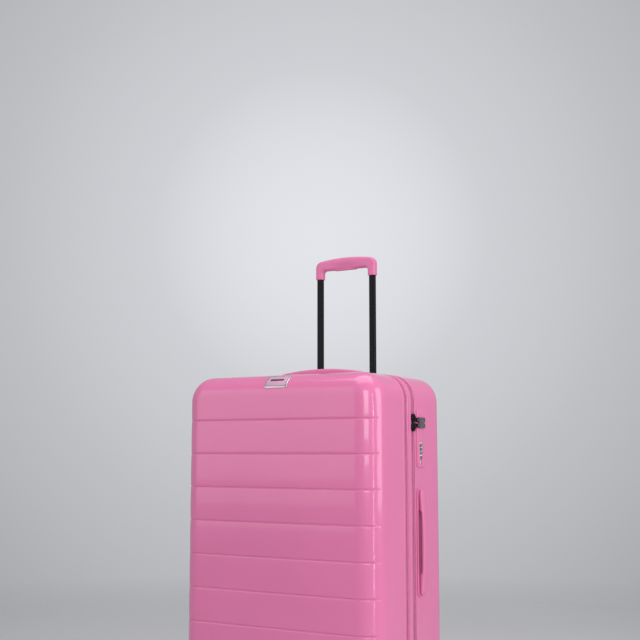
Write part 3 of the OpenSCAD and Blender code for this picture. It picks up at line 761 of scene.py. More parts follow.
def bow(name, where, length, rise, width):
    """Arched carry handle: straight finger gap with blunt ends, solid tips, a seam beside each end."""
    half, open_half = length / 2, 67 * MM
    end_rise = max(8 * MM, 0.56 * rise)
    low_gap, low_rest = 7.2 * MM, 2.1 * MM
    seam_at = open_half + 6 * MM
    near = {s * (open_half + d * MM) for s in (-1, 1) for d in (-5, -3, -1.5, 0, 4.5, 5.5, 6, 6.5, 7.5)}
    ends = {s * u * half for s in (-1, 1) for u in (0.76, 0.83, 0.9, 0.94, 0.97, 0.985, 0.995, 0.999)}
    stations = sorted(near | {u * open_half for u in np.linspace(-0.9, 0.9, 25)} | ends)
    loops = []
    for x in stations:
        u = abs(x) / half
        top = rise - (rise - end_rise) * u * u
        low = low_gap + (low_rest - low_gap) * float(smooth(abs(x), open_half - 4 * MM, open_half))
        round_end = math.sqrt(max(0.02, 1 - max(0.0, (u - 0.9) / 0.1) ** 2))
        seam = 0.35 * MM * math.exp(-((abs(x) - seam_at) / (0.7 * MM)) ** 2)
        w = (width / 2 - seam) * round_end
        thick = ((top - low) / 2 - seam) * (0.35 + 0.65 * round_end)
        mid = low + thick if u > 0.9 else (top + low) / 2
        loops.append([(x, w * across, mid + thick * up) for across, up in soft_ring(28, 0.62)])
    return loft(name, loops, HANDLE, where=where, sharp=60)


HANDLE_LEN = TOP_HANDLE_HI.x - TOP_HANDLE_LO.x
HANDLE_W = TOP_HANDLE_HI.y - TOP_HANDLE_LO.y + 4 * MM
for label, where, rise in (("top", ON_TOP, TOP_HANDLE_HI.z - Z_TOP),
                           ("side", ON_SIDE, SIDE_HANDLE_HI.x - HALF_W)):
    base = handle_base(f"{label}_handle_cup", where)
    place(base, "rear_case", "handle_pink", f"{label}_handle_base")
    bar = bow(f"{label}_handle_bow", where, HANDLE_LEN, rise, HANDLE_W)
    stems = [cylinder(f"stem_{s}", 3 * MM, -16 * MM, 4 * MM, HANDLE,
                      where @ Matrix.Translation((s * 88 * MM, 0, 0)), 20) for s in (-1, 1)]
    bar = join(f"{label}_handle_bow", [bar, *stems], 60)
    place(bar, f"{label}_handle", "handle_pink", f"{label}_handle")


# -------- trolley handle

def arc_points(cx, cz, r, start, end, steps=7):
    """Points round an arc, angles in degrees."""
    return [(cx + r * math.cos(math.radians(start + (end - start) * k / steps)),
             cz + r * math.sin(math.radians(start + (end - start) * k / steps))) for k in range(steps + 1)]


POST_LO, POST_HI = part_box("trolley_inner_tubes")
POST_Y = (POST_LO.y + POST_HI.y) / 2
POST_W, POST_T = 14.5 * MM, POST_HI.y - POST_LO.y
POST_X = POST_HI.x - POST_W / 2
GRIP_LO, GRIP_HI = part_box("trolley_grip")


def post(name, x):
    """A slim tube with rounded edges and a shallow channel down its front and back."""
    w, t, r, groove, deep = POST_W / 2, POST_T / 2, 1.8 * MM, 2.6 * MM, 0.45 * MM
    quarter = [(w - r + r * math.cos(a), t - r + r * math.sin(a)) for a in np.linspace(0, math.pi / 2, 6)]
    channel = [(groove + 0.5 * MM, t), (groove, t - deep), (-groove, t - deep), (-groove - 0.5 * MM, t)]
    back = quarter + channel + [(-px, py) for px, py in reversed(quarter)]
    section = back + [(-px, -py) for px, py in back]
    loops = [[(x + px, POST_Y + py, z) for px, py in section] for z in np.linspace(POST_LO.z, POST_HI.z, 9)]
    return loft(name, loops, POST_BLACK, sharp=35)


posts = join("trolley_posts", [post("post_left", -POST_X), post("post_right", POST_X)], 35)
place(posts, "trolley", "black_metal", "trolley_inner_tubes")


def grip_edges():
    """Matching points (x, z) along the outer and the inner edge of the grip, from foot to foot."""
    half, foot, top = GRIP_HI.x, GRIP_LO.z, GRIP_HI.z
    inner, under, crown = half - 20 * MM, top - 29 * MM, 4.8 * MM
    r_out, r_in = 16 * MM, 8 * MM
    shoulder = top - crown - r_out
    pairs = [((-half, foot + f * (shoulder - foot)), (-inner, foot + f * (under - r_in - foot)))
             for f in (0, 0.04, 0.12, 0.4, 0.7)]
    for t in np.linspace(math.pi, math.pi / 2, 10):
        c, s = math.cos(t), math.sin(t)
        pairs.append(((r_out - half + r_out * c, shoulder + r_out * s),
                      (r_in - inner + r_in * c, under - r_in + r_in * s)))
    for f in np.linspace(0.94, 0, 16):
        pairs.append(((-f * (half - r_out), top - crown * f * f), (-f * (inner - r_in), under)))
    return pairs + [((-ox, oz), (-ix, iz)) for (ox, oz), (ix, iz) in reversed(pairs[:-1])]


def grip_body():
    """Rounded tube up one leg, along the bar and down the other, with a scoop low on each face."""
    thick, scoop_half = (GRIP_HI.y - GRIP_LO.y) / 2, 44 * MM
    pairs = grip_edges()
    loops = []
    for i, ((ox, oz), (ix, iz)) in enumerate(pairs):
        end = 0.93 if i in (0, len(pairs) - 1) else 1.0
        mx, mz, hx, hz = (ox + ix) / 2, (oz + iz) / 2, (ox - ix) / 2 * end, (oz - iz) / 2 * end
        scoop = max(0.0, 1 - (mx / scoop_half) ** 2)
        ring = []
        for out, across in soft_ring(32, 0.6):
            wide = thick * end * (1 - 0.3 * scoop * float(smooth(-out, -0.05, 0.35)))
            ring.append((mx + hx * out, POST_Y + wide * across, mz + hz * out))
        loops.append(ring)
    return loft("trolley_grip_skin", loops, HANDLE, sharp=50)


BUTTON_LO, BUTTON_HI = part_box("trolley_button")
BUTTON_LEN, BUTTON_W, BUTTON_T = span(BUTTON_LO, BUTTON_HI)
BUTTON_AT = local_frame((0, POST_Y, BUTTON_HI.z), (1, 0, 0), (0, -1, 0))
grip = grip_body()
carve(grip, cutter(BUTTON_LEN + MM, BUTTON_W + MM, BUTTON_W / 2, 30 * MM, HANDLE, BUTTON_AT), sharp=50)
place(grip, "trolley", "handle_pink", "trolley_grip")
button = pad("trolley_button_skin", BUTTON_LEN, BUTTON_W, BUTTON_W / 2, BUTTON_T, 1.4 * MM,
             HANDLE, where=BUTTON_AT, steps=8)
place(button, "trolley_button", "black_plastic", "trolley_button")


def bezel():
    """Moulded trough round the trolley handle, flush with the back and the top edge."""
    y0, y1, z0, z1 = BEZEL_LO.y, BEZEL_HI.y - 0.1 * MM, BEZEL_LO.z, BEZEL_HI.z
    r = 24 * MM
    profile = [(y0, z0), (y1, z0), (y1, z1 - r)]
    profile += arc_points(y1 - r, z1 - r, r, 6, 84, 9) + [(y1 - r, z1), (y0, z1)]
    turn = Matrix.Rotation(math.pi / 2, 4, "Z")
    made = slab("trolley_bezel_skin", profile, BEZEL_LO.x, BEZEL_HI.x, 1.4 * MM, BLACK, where=turn)
    at = Matrix.Translation((0, POST_Y, z0 + 2 * MM))
    return carve(made, cutter(169 * MM, 22 * MM, 7 * MM, 60 * MM, BLACK, at))


place(bezel(), "rear_case", "black_plastic", "trolley_bezel")

collars = []
for s in (-1, 1):
    loops = [[(x, y, z * MM) for x, y in round_rect(w * MM, t * MM, 2.4 * MM, 5)]
             for w, t, z in ((21, 16, 0), (21, 16, 1.2), (20, 15, 1.9), (15, 10.4, 1.9), (15, 10.4, 0))]
    at = Matrix.Translation((s * POST_X, POST_Y, BEZEL_LO.z + 2 * MM))
    collars.append(loft(f"collar_{s}", loops, BLACK, closed=True, where=at, sharp=50))
place(join("trolley_collars", collars, 50), "rear_case", "black_plastic")


# -------- lock, sliders and pull tabs

DIALS = [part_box(f"lock_dial_{i}") for i in (1, 2, 3)]
DIAL_X, DIAL_Y = middle(*DIALS[1])[:2]
DIAL_R = (DIALS[1][1].x - DIALS[1][0].x) / 2
DIAL_Z = [middle(lo, hi)[2] for lo, hi in DIALS]
TABS = {n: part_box(f"pull_tab_{n}") for n in ("upper", "lower")}
KEY_LO, KEY_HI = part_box("lock_key_plug")
PUSH_LO, PUSH_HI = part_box("lock_button")


def lock_plate():
    """Lock housing with a dial window, docks for both pull tabs, a button hole and a keyhole."""
    made = pad("lock_housing_skin", LOCK_W, LOCK_H, 6 * MM, LOCK_T, 1.3 * MM, SHELL,
               where=side_frame(LOCK_Y, LOCK_Z, LOCK_LO.x), steps=8)
    face = LOCK_HI.x
    cuts = [cutter(17 * MM, 29 * MM, 3 * MM, 9 * MM, SHELL, side_frame(DIAL_Y, DIAL_Z[1], face - 1.7 * MM))]
    for lo, hi in TABS.values():
        cuts.append(cutter(38 * MM, 11.6 * MM, 4 * MM, 9 * MM, SHELL,
                           side_frame(hi.y - 17 * MM, (lo.z + hi.z) / 2, face - 1.0 * MM)))
    for lo, hi, grow in ((KEY_LO, KEY_HI, 0.1), (PUSH_LO, PUSH_HI, 0.35)):
        r = (hi.y - lo.y) / 2 + grow * MM
        cuts.append(cylinder("cut_round", r, -10 * MM, 9 * MM, SHELL, side_frame(*middle(lo, hi)[1:]), 32))
    for z in DIAL_Z:
        cuts.append(block("cut_slot", (DIAL_X - 4 * MM, DIAL_Y - 7.6 * MM, z - 3.3 * MM),
                          (face + 5 * MM, DIAL_Y + 7.6 * MM, z + 3.3 * MM), SHELL))
    return carve(made, *cuts)


place(lock_plate(), "rear_case", "shell_pink", "lock_housing")


def window_insert():
    """Pale frame on the floor of the dial window."""
    made = pad("dial_window", 16.6 * MM, 28.6 * MM, 2.8 * MM, 0.5 * MM, 0.15 * MM, DIAL,
               where=side_frame(DIAL_Y, DIAL_Z[1], LOCK_HI.x - 1.75 * MM))
    cuts = [block("cut_slot", (DIAL_X - 4 * MM, DIAL_Y - 7.5 * MM, z - 3.25 * MM),
                  (HALF_W + 9 * MM, DIAL_Y + 7.5 * MM, z + 3.25 * MM), DIAL) for z in DIAL_Z]
    return carve(made, *cuts)


place(window_insert(), "rear_case", "dial_plastic")

SEGMENTS = {  # bars of each figure: top, upper left, upper right, middle, lower left, lower right, bottom
    0: "1110111", 1: "0010010", 2: "1011101", 3: "1011011", 4: "0111010",
    5: "1101011", 6: "1101111", 7: "1010010", 8: "1111111", 9: "1111011"}
BARS = ((0, 2, 1), (-1, 1, 0), (1, 1, 0), (0, 0, 1), (-1, -1, 0), (1, -1, 0), (0, -2, 1))


def dial(index, z):
    """A ten-sided thumb wheel with a finger notch between its figures."""
    loops = []
    for drop, h in ((0.9, -3.0), (0.25, -2.6), (0, -2.1), (0, 2.1), (0.25, 2.6), (0.9, 3.0)):
        ring = []
        for k in range(120):
            a = 2 * math.pi * k / 120
            notch = 0.75 * abs(math.sin(5 * a)) ** 6
            r = DIAL_R - (drop + notch) * MM
            ring.append((DIAL_X + r * math.cos(a), DIAL_Y + r * math.sin(a), z + h * MM))
        loops.append(ring)
    parts = [loft(f"dial_{index}", loops, DIAL_INK, sharp=50)]
    for figure in range(10):
        a = 2 * math.pi * figure / 10
        turn = Matrix.Translation((DIAL_X, DIAL_Y, z)) @ Matrix.Rotation(a, 4, "Z")
        for bar, (u, v, flat) in zip(SEGMENTS[figure], BARS):
            if bar == "0":
                continue
            long, thin = 1.5 * MM, 0.42 * MM
            size_y, size_z = (long, thin) if flat else (thin, 1.6 * MM)
            x0, x1 = DIAL_R - 0.5 * MM, DIAL_R + 0.03 * MM
            piece = block("figure", (x0, u * 0.8 * MM - size_y / 2, v * 0.85 * MM - size_z / 2),
                          (x1, u * 0.8 * MM + size_y / 2, v * 0.85 * MM + size_z / 2), DIAL)
            piece.data.transform(turn)
            parts.append(piece)
    return join(f"lock_dial_{index}_wheel", parts, 50)


for i, z in enumerate(DIAL_Z, 1):
    place(dial(i, z), f"lock_dial_{i}", "dial_plastic", f"lock_dial_{i}")

key_r = (KEY_HI.y - KEY_LO.y) / 2
key_y, key_z = middle(KEY_LO, KEY_HI)[1:]
plug = lathe("lock_key_plug_skin", [(0, -12 * MM), (key_r, -12 * MM), (key_r, -0.5 * MM),
                                    (key_r - 0.4 * MM, -0.1 * MM), (key_r - 1.2 * MM, 0), (0, 0)],
             SILVER, where=side_frame(key_y, key_z, KEY_HI.x), steps=40)
slot_cut = block("cut_key", (KEY_HI.x - 4 * MM, -0.45 * MM, -2.2 * MM),
                 (KEY_HI.x + 2 * MM, 0.45 * MM, 2.2 * MM), BLACK)
slot_cut.data.transform(Matrix.Translation((0, key_y, key_z)))
place(carve(plug, slot_cut), "lock_key_plug", "silver_trim", "lock_key_plug")

push_r = (PUSH_HI.y - PUSH_LO.y) / 2
push_at = side_frame(*middle(PUSH_LO, PUSH_HI)[1:], PUSH_HI.x)
push = lathe("lock_button_skin", [(0, -11 * MM), (push_r, -11 * MM), (push_r, -0.8 * MM),
                                  (push_r - 0.3 * MM, -0.25 * MM), (push_r - 0.9 * MM, 0),
                                  (push_r - 1.4 * MM, -0.2 * MM), (0, -0.5 * MM)],
             TAB_GREY, where=push_at, steps=40)
place(push, "lock_button", "grey_metal", "lock_button")

SLIDER_TOP = HALF_W + 3.1 * MM
PIN_X = (TABS["upper"][0].x + TABS["upper"][1].x) / 2
PIN_Y = TABS["upper"][0].y + 1.3 * MM


def slider(name, lo, hi, tab_z):
    """Die-cast zip slider: waisted wings, a raised bridge and two ears for the pull."""
    z = (lo.z + hi.z) / 2
    half = (hi.z - lo.z) / 2
    outline_points = []
    for k, (along, up) in enumerate(soft_ring(40, 0.6)):
        a = 2 * math.pi * k / 40
        waist = 1 - 0.13 * math.cos(2 * a) * (abs(math.sin(a)) > 0.3)
        outline_points.append((7.4 * MM * along * min(1, waist), half * up))
    levels = [(inset, HALF_W - 0.9 * MM + drop) for inset, drop in reversed(bevel_steps(0.6 * MM, 3))]
    levels += [(inset, SLIDER_TOP - drop) for inset, drop in bevel_steps(1.1 * MM, 3)]
    loops = [[(x, Y_MAIN + p.x, z + p.y) for p in inset_outline(outline_points, inset)]
             for inset, x in levels]
    parts = [loft("wings", loops, SLIDER_BLACK, sharp=45)]
    bridge = []
    for k in range(13):
        u = -1 + 2 * k / 12
        height = SLIDER_TOP - 1 * MM + 4.6 * MM * max(0.0, 1 - abs(u) ** 3)
        wide = 2.4 * MM
        bridge.append([(height - down * MM, Y_MAIN + across * wide, z + u * half * 0.8)
                       for down, across in ((1.5, -1), (1.5, 1), (0.3, 1), (0, 0.6), (0, -0.6), (0.3, -1))])
    parts.append(loft("bridge", bridge, SLIDER_BLACK, sharp=45))
    for e in (-1, 1):
        parts.append(block("ear", (HALF_W + 1.2 * MM, PIN_Y - 2.5 * MM, tab_z + e * 3.15 * MM - 0.8 * MM),
                           (PIN_X + 2.4 * MM, PIN_Y + 2.5 * MM, tab_z + e * 3.15 * MM + 0.8 * MM),
                           SLIDER_BLACK, 0.5 * MM))
    parts.append(block("arm", (HALF_W + 1.2 * MM, Y_MAIN + 4 * MM, tab_z - 3.9 * MM),
                       (SLIDER_TOP - 0.1 * MM, PIN_Y + 1 * MM, tab_z + 3.9 * MM), SLIDER_BLACK, 0.4 * MM))
    return join(name, parts, 45)


def tab(name, lo, hi):
    """Pull tab with a raised rim, a sunk face, a thumb hole and its pin."""
    z = (lo.z + hi.z) / 2
    start = PIN_Y + 4 * MM
    long, wide = hi.y - start, hi.z - lo.z
    thick = hi.x - lo.x
    at = side_frame(start + long / 2, z, lo.x)
    made = pad("plate", long, wide, 4 * MM, thick, 0.8 * MM, TAB_GREY, where=at, both=True, steps=8)
    sunk = cutter(long - 10 * MM, wide - 3.4 * MM, 2.6 * MM, 5 * MM, TAB_GREY,
                  side_frame(start + long / 2 + 2.6 * MM, z, hi.x - 0.6 * MM), steps=8)
    eye = cutter(3.4 * MM, 5 * MM, 1.6 * MM, 9 * MM, TAB_GREY,
                 side_frame(start + 3.6 * MM, z, lo.x - 3 * MM))
    carve(made, sunk, eye)
    link = block("link", (lo.x + 0.1 * MM, PIN_Y - 0.9 * MM, z - 1.9 * MM),
                 (hi.x - 0.1 * MM, start + 1.2 * MM, z + 1.9 * MM), TAB_GREY, 0.4 * MM)
    pin = cylinder("pin", 1.1 * MM, -3.9 * MM, 3.9 * MM, TAB_GREY, Matrix.Translation((PIN_X, PIN_Y, z)), 16)
    return join(name, [made, link, pin], 45)


for which in ("upper", "lower"):
    tab_lo, tab_hi = TABS[which]
    tab_mid = (tab_lo.z + tab_hi.z) / 2
    cast = slider(f"zip_slider_{which}_body", *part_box(f"zip_slider_{which}"), tab_mid)
    place(cast, f"zip_slider_{which}", "black_metal", f"zip_slider_{which}")
    place(tab(f"pull_tab_{which}_plate", tab_lo, tab_hi), f"pull_tab_{which}", "grey_metal",
          f"pull_tab_{which}")

EXP_LO, EXP_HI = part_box("expander_slider")
exp_at = local_frame((EXP_HI.x, *middle(EXP_LO, EXP_HI)[1:]), (0, 0, 1), (0, 1, 0))
exp_t, exp_w, exp_long = span(EXP_LO, EXP_HI)
exp_parts = [
    pad("exp_wings", exp_long, exp_w, 4 * MM, 2.4 * MM, 0.8 * MM, SLIDER_BLACK, where=exp_at),
    pad("exp_bridge", 11 * MM, 4 * MM, 1.8 * MM, exp_t - 0.2 * MM, 0.8 * MM, SLIDER_BLACK, where=exp_at),
]
place(join("expander_slider_body", exp_parts, 45), "expander_slider", "black_metal", "expander_slider")


# -------- badge on the front top rounding

def curved_plate(name, w, lift0, lift1, a0, a1, bevel, material, corner=3 * MM):
    """A plate bent round the front top edge, from angle a0 to a1 above the front."""
    centre_y, centre_z = FRONT_LO.y + EDGE_R, Z_TOP - SIDE_INSET - EDGE_R
    long = (EDGE_R + lift1) * math.radians(a1 - a0)
    mid = math.radians((a0 + a1) / 2)
    flat = pad(name, w, long, corner, lift1 - lift0, bevel, material, both=True, z0=lift0, steps=8)
    work = bmesh.new()
    work.from_mesh(flat.data)
    bmesh.ops.triangulate(work, faces=[f for f in work.faces if len(f.verts) > 4])
    long_edges = [e for e in work.edges if abs(e.verts[0].co.y - e.verts[1].co.y) > 3 * MM]
    bmesh.ops.subdivide_edges(work, edges=long_edges, cuts=7, use_grid_fill=True)
    for v in work.verts:
        a = mid + v.co.y / (EDGE_R + lift1)
        r = EDGE_R + v.co.z
        v.co = Vector((v.co.x, centre_y - r * math.cos(a), centre_z + r * math.sin(a)))
    work.to_mesh(flat.data)
    work.free()
    tidy(flat, 40)
    return flat


BADGE_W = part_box("badge_frame")[1].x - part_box("badge_frame")[0].x
frame_plate = curved_plate("badge_frame_plate", BADGE_W - 1 * MM, -1 * MM, 1.7 * MM, 22, 67, 0.6 * MM,
                           SILVER, 5 * MM)
place(frame_plate, "front_case", "silver_trim", "badge_frame")
face_plate = curved_plate("badge_face", BADGE_W - 10 * MM, 1 * MM, 1.9 * MM, 28, 61, 0.3 * MM, BADGE, 3 * MM)
badge_bar = curved_plate("badge_bar", 34 * MM, 1.2 * MM, 2.15 * MM, 42, 48, 0.1 * MM, DIAL_INK, 1.5 * MM)
place(join("badge_face", [face_plate, badge_bar], 40), "front_case", "shell_pink", "badge_plate")


# -------- casters

WHEEL_R = 22 * MM


def caster_housing(name, at):
    """Flanged cup under a corner of the shell, with the boss that the stem turns in."""
    profile = [(6.3, 50.6), (23.5, 50.6), (24, 52.2), (27.6, 52.2), (28.4, 51), (30, 51.4), (31, 53.4),
               (31, 66), (30, 68.5), (27, 70), (14, 70), (14, 81), (6.3, 81)]
    return lathe(name, in_mm(profile), BLACK, where=at, steps=56, sharp=35)


def caster_fork(name, at):
    """Swivel disc with a raised ring, and a beveled web that carries the axle."""
    disc_profile = [(0, 46), (21.5, 46), (23.4, 46.8), (24, 48.2), (23.4, 49.8), (6, 49.8), (5.9, 74),
                    (0, 74)]
    disc = lathe("disc", in_mm(disc_profile), BLACK, where=at, steps=56)
    trail = 12
    outline_points = [(-20, 47), (-17, 40), (-9.6, 26)]
    outline_points += [(x / MM, z / MM) for x, z in arc_points(0, WHEEL_R, 9.2 * MM, 190, 350, 12)]
    outline_points += [(9.6, 26), (9.0, 36), (8.6, 47)]
    turn = at @ Matrix.Translation((0, trail * MM, 0)) @ Matrix.Rotation(math.pi / 2, 4, "Z")
    web = slab("web", in_mm(outline_points), -2.5 * MM, 2.5 * MM, 0.9 * MM, BLACK, where=turn)
    return join(name, [disc, web], 35)


def wheel(name, at, side):
    """Rubber tread on a five-spoke hub, its dished face outwards."""
    w = 5.4
    tyre = [(15.2, -w + 0.6), (16.5, -w), (19.5, -w + 0.1), (21.2, -w + 1.1), (21.85, -w + 2.6), (22, 0),
            (21.85, w - 2.6), (21.2, w - 1.1), (19.5, w - 0.1), (16.5, w), (15.2, w - 0.6)]
    hub = [(3.1, -w), (15.4, -w + 0.3), (15.4, w - 0.4), (13.8, w - 0.4), (13.2, w - 2.6), (6.6, w - 2.6),
           (6.0, w + 0.1), (4.6, w + 0.1), (4.2, w - 0.5), (3.1, w - 0.5)]
    out = at @ Matrix.Rotation(side * math.pi / 2, 4, "Y")
    parts = [lathe("tyre", in_mm(tyre), RUBBER, where=out, steps=64, sharp=50),
             lathe("hub", in_mm(hub), BLACK, where=out, steps=64, sharp=35)]
    for k in range(5):
        spoke = block("spoke", (5.6 * MM, -1.3 * MM, 0), (13.9 * MM, 1.3 * MM, (w - 0.9) * MM), BLACK,
                      0.5 * MM)
        spoke.data.transform(out @ Matrix.Rotation(2 * math.pi * k / 5, 4, "Z"))
        parts.append(spoke)
    return join(name, parts, 40)


for corner, body in (("fl", "front_case"), ("fr", "front_case"), ("rl", "rear_case"), ("rr", "rear_case")):
    c = f"caster_{corner}"
    house_lo, house_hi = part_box(f"{c}_housing")
    centre = (house_lo + house_hi) / 2
    at = Matrix.Translation((centre.x, centre.y, 0))
    place(caster_housing(f"{c}_cup", at), body, "black_plastic", f"{c}_housing")
    place(caster_fork(f"{c}_fork_web", at), f"{c}_swivel", "black_plastic", f"{c}_fork")
    axle_lo, axle_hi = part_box(f"{c}_axle")
    axle_mid = (axle_lo + axle_hi) / 2
    half = (axle_hi.x - axle_lo.x) / 2
    rod = [(0, -half), (2.2 * MM, -half), (2.9 * MM, 0.6 * MM - half), (2.9 * MM, half - 0.6 * MM),
           (2.2 * MM, half), (0, half)]
    place(lathe(f"{c}_axle_rod", rod, STEEL, steps=24,
                where=Matrix.Translation(axle_mid) @ Matrix.Rotation(math.pi / 2, 4, "Y")),
          f"{c}_swivel", "screw_steel", f"{c}_axle")
    for letter, side in (("a", -1), ("b", 1)):
        lo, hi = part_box(f"{c}_wheel_{letter}")
        mid = (lo + hi) / 2
        place(wheel(f"{c}_wheel_{letter}_tyre", Matrix.Translation(mid), side),
              f"{c}_wheel_{letter}", "wheel_rubber", f"{c}_wheel_{letter}")


# -------- inside: linings, straps, pocket, hinge

def cloth_tray(name, lo, hi, floor_y, mouth_y, corner, seed):
    """Lining stretched in a shell: soft-cornered walls and a floor with shallow pulls."""
    w, _, h = span(lo, hi)
    cx, _, cz = middle(lo, hi)
    count = 200
    closed, run = walk(np.array(round_rect(w, h, corner, 10)))
    even = np.linspace(0, run[-1], count, endpoint=False)
    edge = np.stack([np.interp(even, run, closed[:, i]) for i in (0, 1)], 1)
    loops = []
    inward = 1 if mouth_y > floor_y else -1
    for k in range(14):
        f = k / 13
        y = mouth_y + (floor_y - mouth_y) * f
        wave = 0.5 * MM * np.sin(np.arange(count) * 0.35 + seed + 3 * f) * math.sin(math.pi * f)
        shrink = 1 - (0.8 * MM + wave)[:, None] / np.linalg.norm(edge, axis=1)[:, None]
        ring = edge * shrink
        loops.append([(cx + x, y, cz + z) for x, z in ring])
    for k in range(1, 26):
        f = 1 - k / 26
        ring = edge * f * (1 - 0.8 * MM / 0.2)
        lift = 0.9 * MM * np.sin(ring[:, 0] * 19 + seed) * np.sin(ring[:, 1] * 13 + 2 * seed) * (1 - f ** 6)
        lift += 0.5 * MM * np.sin(ring[:, 0] * 47 + ring[:, 1] * 31 + seed) * (1 - f ** 6)
        loops.append([(cx + x, floor_y + inward * (0.9 * MM + up * 0.6), cz + z)
                      for (x, z), up in zip(ring, lift)])
    return thicken(loft(name, loops, LINING, caps=(False, True), sharp=70), CLOTH, 0, 70)


LINING_BOX = {half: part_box(f"{half}_lining") for half in ("rear", "front")}
LINING_CORNER = {"rear": 14 * MM, "front": 38 * MM}

# Each lining is a tray of cloth, cut from one sheet with its four sides folded up
for half, seed in (("rear", 1.0), ("front", 2.3)):
    lo, hi = LINING_BOX[half]
    floor_y, mouth_y = (hi.y - MM, lo.y) if half == "rear" else (lo.y + MM, hi.y)
    tray = cloth_tray(f"{half}_lining_cloth", lo, hi, floor_y, mouth_y, LINING_CORNER[half], seed)
    place(tray, f"{half}_case", "lining_cloth", f"{half}_lining")
    side = hi.y - lo.y


def skirt(name, lo, hi, y, inset_to, corner, wide):
    """Flat cloth margin from a lining's mouth out to the shell."""
    cx, _, cz = middle(lo, hi)
    inner = round_rect(hi.x - lo.x - 2 * MM, hi.z - lo.z - 2 * MM, corner, 12)
    outer = round_rect(2 * (HALF_W - inset_to), Z_TOP - Z_LOW - 2 * inset_to, CORNER_R - inset_to, 12)
    loops = [[(cx + px, y, cz + pz) for px, pz in inner],
             [((cx + px) * 0.5 + ox * 0.5, y - wide * 0.3, (cz + pz) * 0.5 + (Z_MID + oz) * 0.5)
              for (px, pz), (ox, oz) in zip(inner, outer)],
             [(ox, y - wide, Z_MID + oz) for ox, oz in outer]]
    return thicken(loft(name, loops, LINING, caps=(False, False), sharp=70), CLOTH, 0, 70)


for half, inset_to, wide in (("rear", 4.4 * MM, 14 * MM), ("front", 7.2 * MM, -1 * MM)):
    lo, hi = LINING_BOX[half]
    margin = skirt(f"{half}_lining_margin", lo, hi, lo.y if half == "rear" else hi.y, inset_to,
                   LINING_CORNER[half], wide)
    place(margin, f"{half}_case", "lining_cloth")

STRAP_LO, STRAP_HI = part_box("cross_straps")
STRAP_HALF, STRAP_HALF_W, STRAP_HALF_T = 213 * MM, 19 * MM, 0.55 * MM
BUCKLE_LO, BUCKLE_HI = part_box("strap_buckle")


def strap(name, lean, y):
    """A band of webbing across the lining, bowed slightly outwards at its middle."""
    cx, _, cz = middle(STRAP_LO, STRAP_HI)
    half, wide, thick = STRAP_HALF, STRAP_HALF_W, STRAP_HALF_T
    loops = []
    for u in np.linspace(-1, 1, 41):
        bow_out = -0.3 * MM * (1 - u * u)
        ring = [(-wide, -thick * 0.4), (-wide * 0.96, -thick), (wide * 0.96, -thick), (wide, -thick * 0.4),
                (wide, thick * 0.4), (wide * 0.96, thick), (-wide * 0.96, thick), (-wide, thick * 0.4)]
        ca, sa = math.cos(lean), math.sin(lean)
        loops.append([(cx + u * half * ca - v * sa, y + bow_out + t, cz + u * half * sa + v * ca)
                      for v, t in ring])
    return loft(name, loops, WEBBING, sharp=60)


lean = math.radians(38)  # of each strap from level
straps = join("cross_straps_web", [strap("strap_a", -lean, STRAP_LO.y + 0.7 * MM),
                                   strap("strap_b", lean, STRAP_LO.y + 2.3 * MM)], 60)
place(straps, "rear_case", "strap_web", "cross_straps")


def buckle():
    """Side-release buckle: a body, a sunk panel and two spring arms."""
    size_x, size_y, size_z = span(BUCKLE_LO, BUCKLE_HI)
    mid = (BUCKLE_LO + BUCKLE_HI) / 2
    at = local_frame((mid.x, BUCKLE_HI.y, mid.z), (1, 0, 0), (0, 0, 1))
    body = pad("buckle_body", size_x * 0.66, size_z, 6 * MM, size_y, 2 * MM, BLACK, where=at)
    carve(body, cutter(size_x * 0.42, size_z * 0.55, 4 * MM, 9 * MM, BLACK, at, 6.9 * MM))
    arms = [pad(f"arm_{s}", size_x * 0.22, size_z * 0.6, 5 * MM, 5 * MM, 1.6 * MM, BLACK,
                where=at @ Matrix.Translation((s * size_x * 0.385, 0, 0)), z0=0.5 * MM) for s in (-1, 1)]
    return join("strap_buckle_body", [body, *arms], 40)


place(buckle(), "rear_case", "black_plastic", "strap_buckle")

POCKET_LO, POCKET_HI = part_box("front_pocket")
pocket_mid = (POCKET_LO + POCKET_HI) / 2
pocket_at = local_frame((pocket_mid.x, POCKET_LO.y + 0.4 * MM, pocket_mid.z), (-1, 0, 0), (0, 0, 1))
pocket_w, _, pocket_h = span(POCKET_LO, POCKET_HI)
pocket = pad("front_pocket_cloth", pocket_w - 3 * MM, pocket_h - 3 * MM, 12 * MM, 1.2 * MM, 0.5 * MM, LINING,
             where=pocket_at)
ring_loops = []
for x, y in round_rect(pocket_w - 3 * MM, pocket_h - 3 * MM, 12 * MM, 10):
    n = Vector((x, y)).normalized()
    ring_loops.append([(x + n.x * 1.4 * MM * math.cos(b), y + n.y * 1.4 * MM * math.cos(b),
                        1.6 * MM + 1.4 * MM * math.sin(b))
                       for b in np.linspace(0, 2 * math.pi, 9)[:-1]])
pocket_trim = [loft("pocket_piping", ring_loops, WEBBING, closed=True, where=pocket_at, sharp=60)]
for k in range(100):
    x = (k - 49.5) * 3.2 * MM
    tooth = block("pocket_tooth", (x - 1.0 * MM, pocket_h / 2 - 27 * MM, 2.4 * MM),
                  (x + 1.0 * MM, pocket_h / 2 - 24 * MM, 3.4 * MM), BLACK)
    tooth.data.transform(pocket_at)
    pocket_trim.append(tooth)
place(pocket, "front_case", "lining_cloth", "front_pocket")
trim = join("front_pocket_trim", pocket_trim, 50)
place(trim, "front_case", "strap_web")

HINGE_LO, HINGE_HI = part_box("hinge_tape")


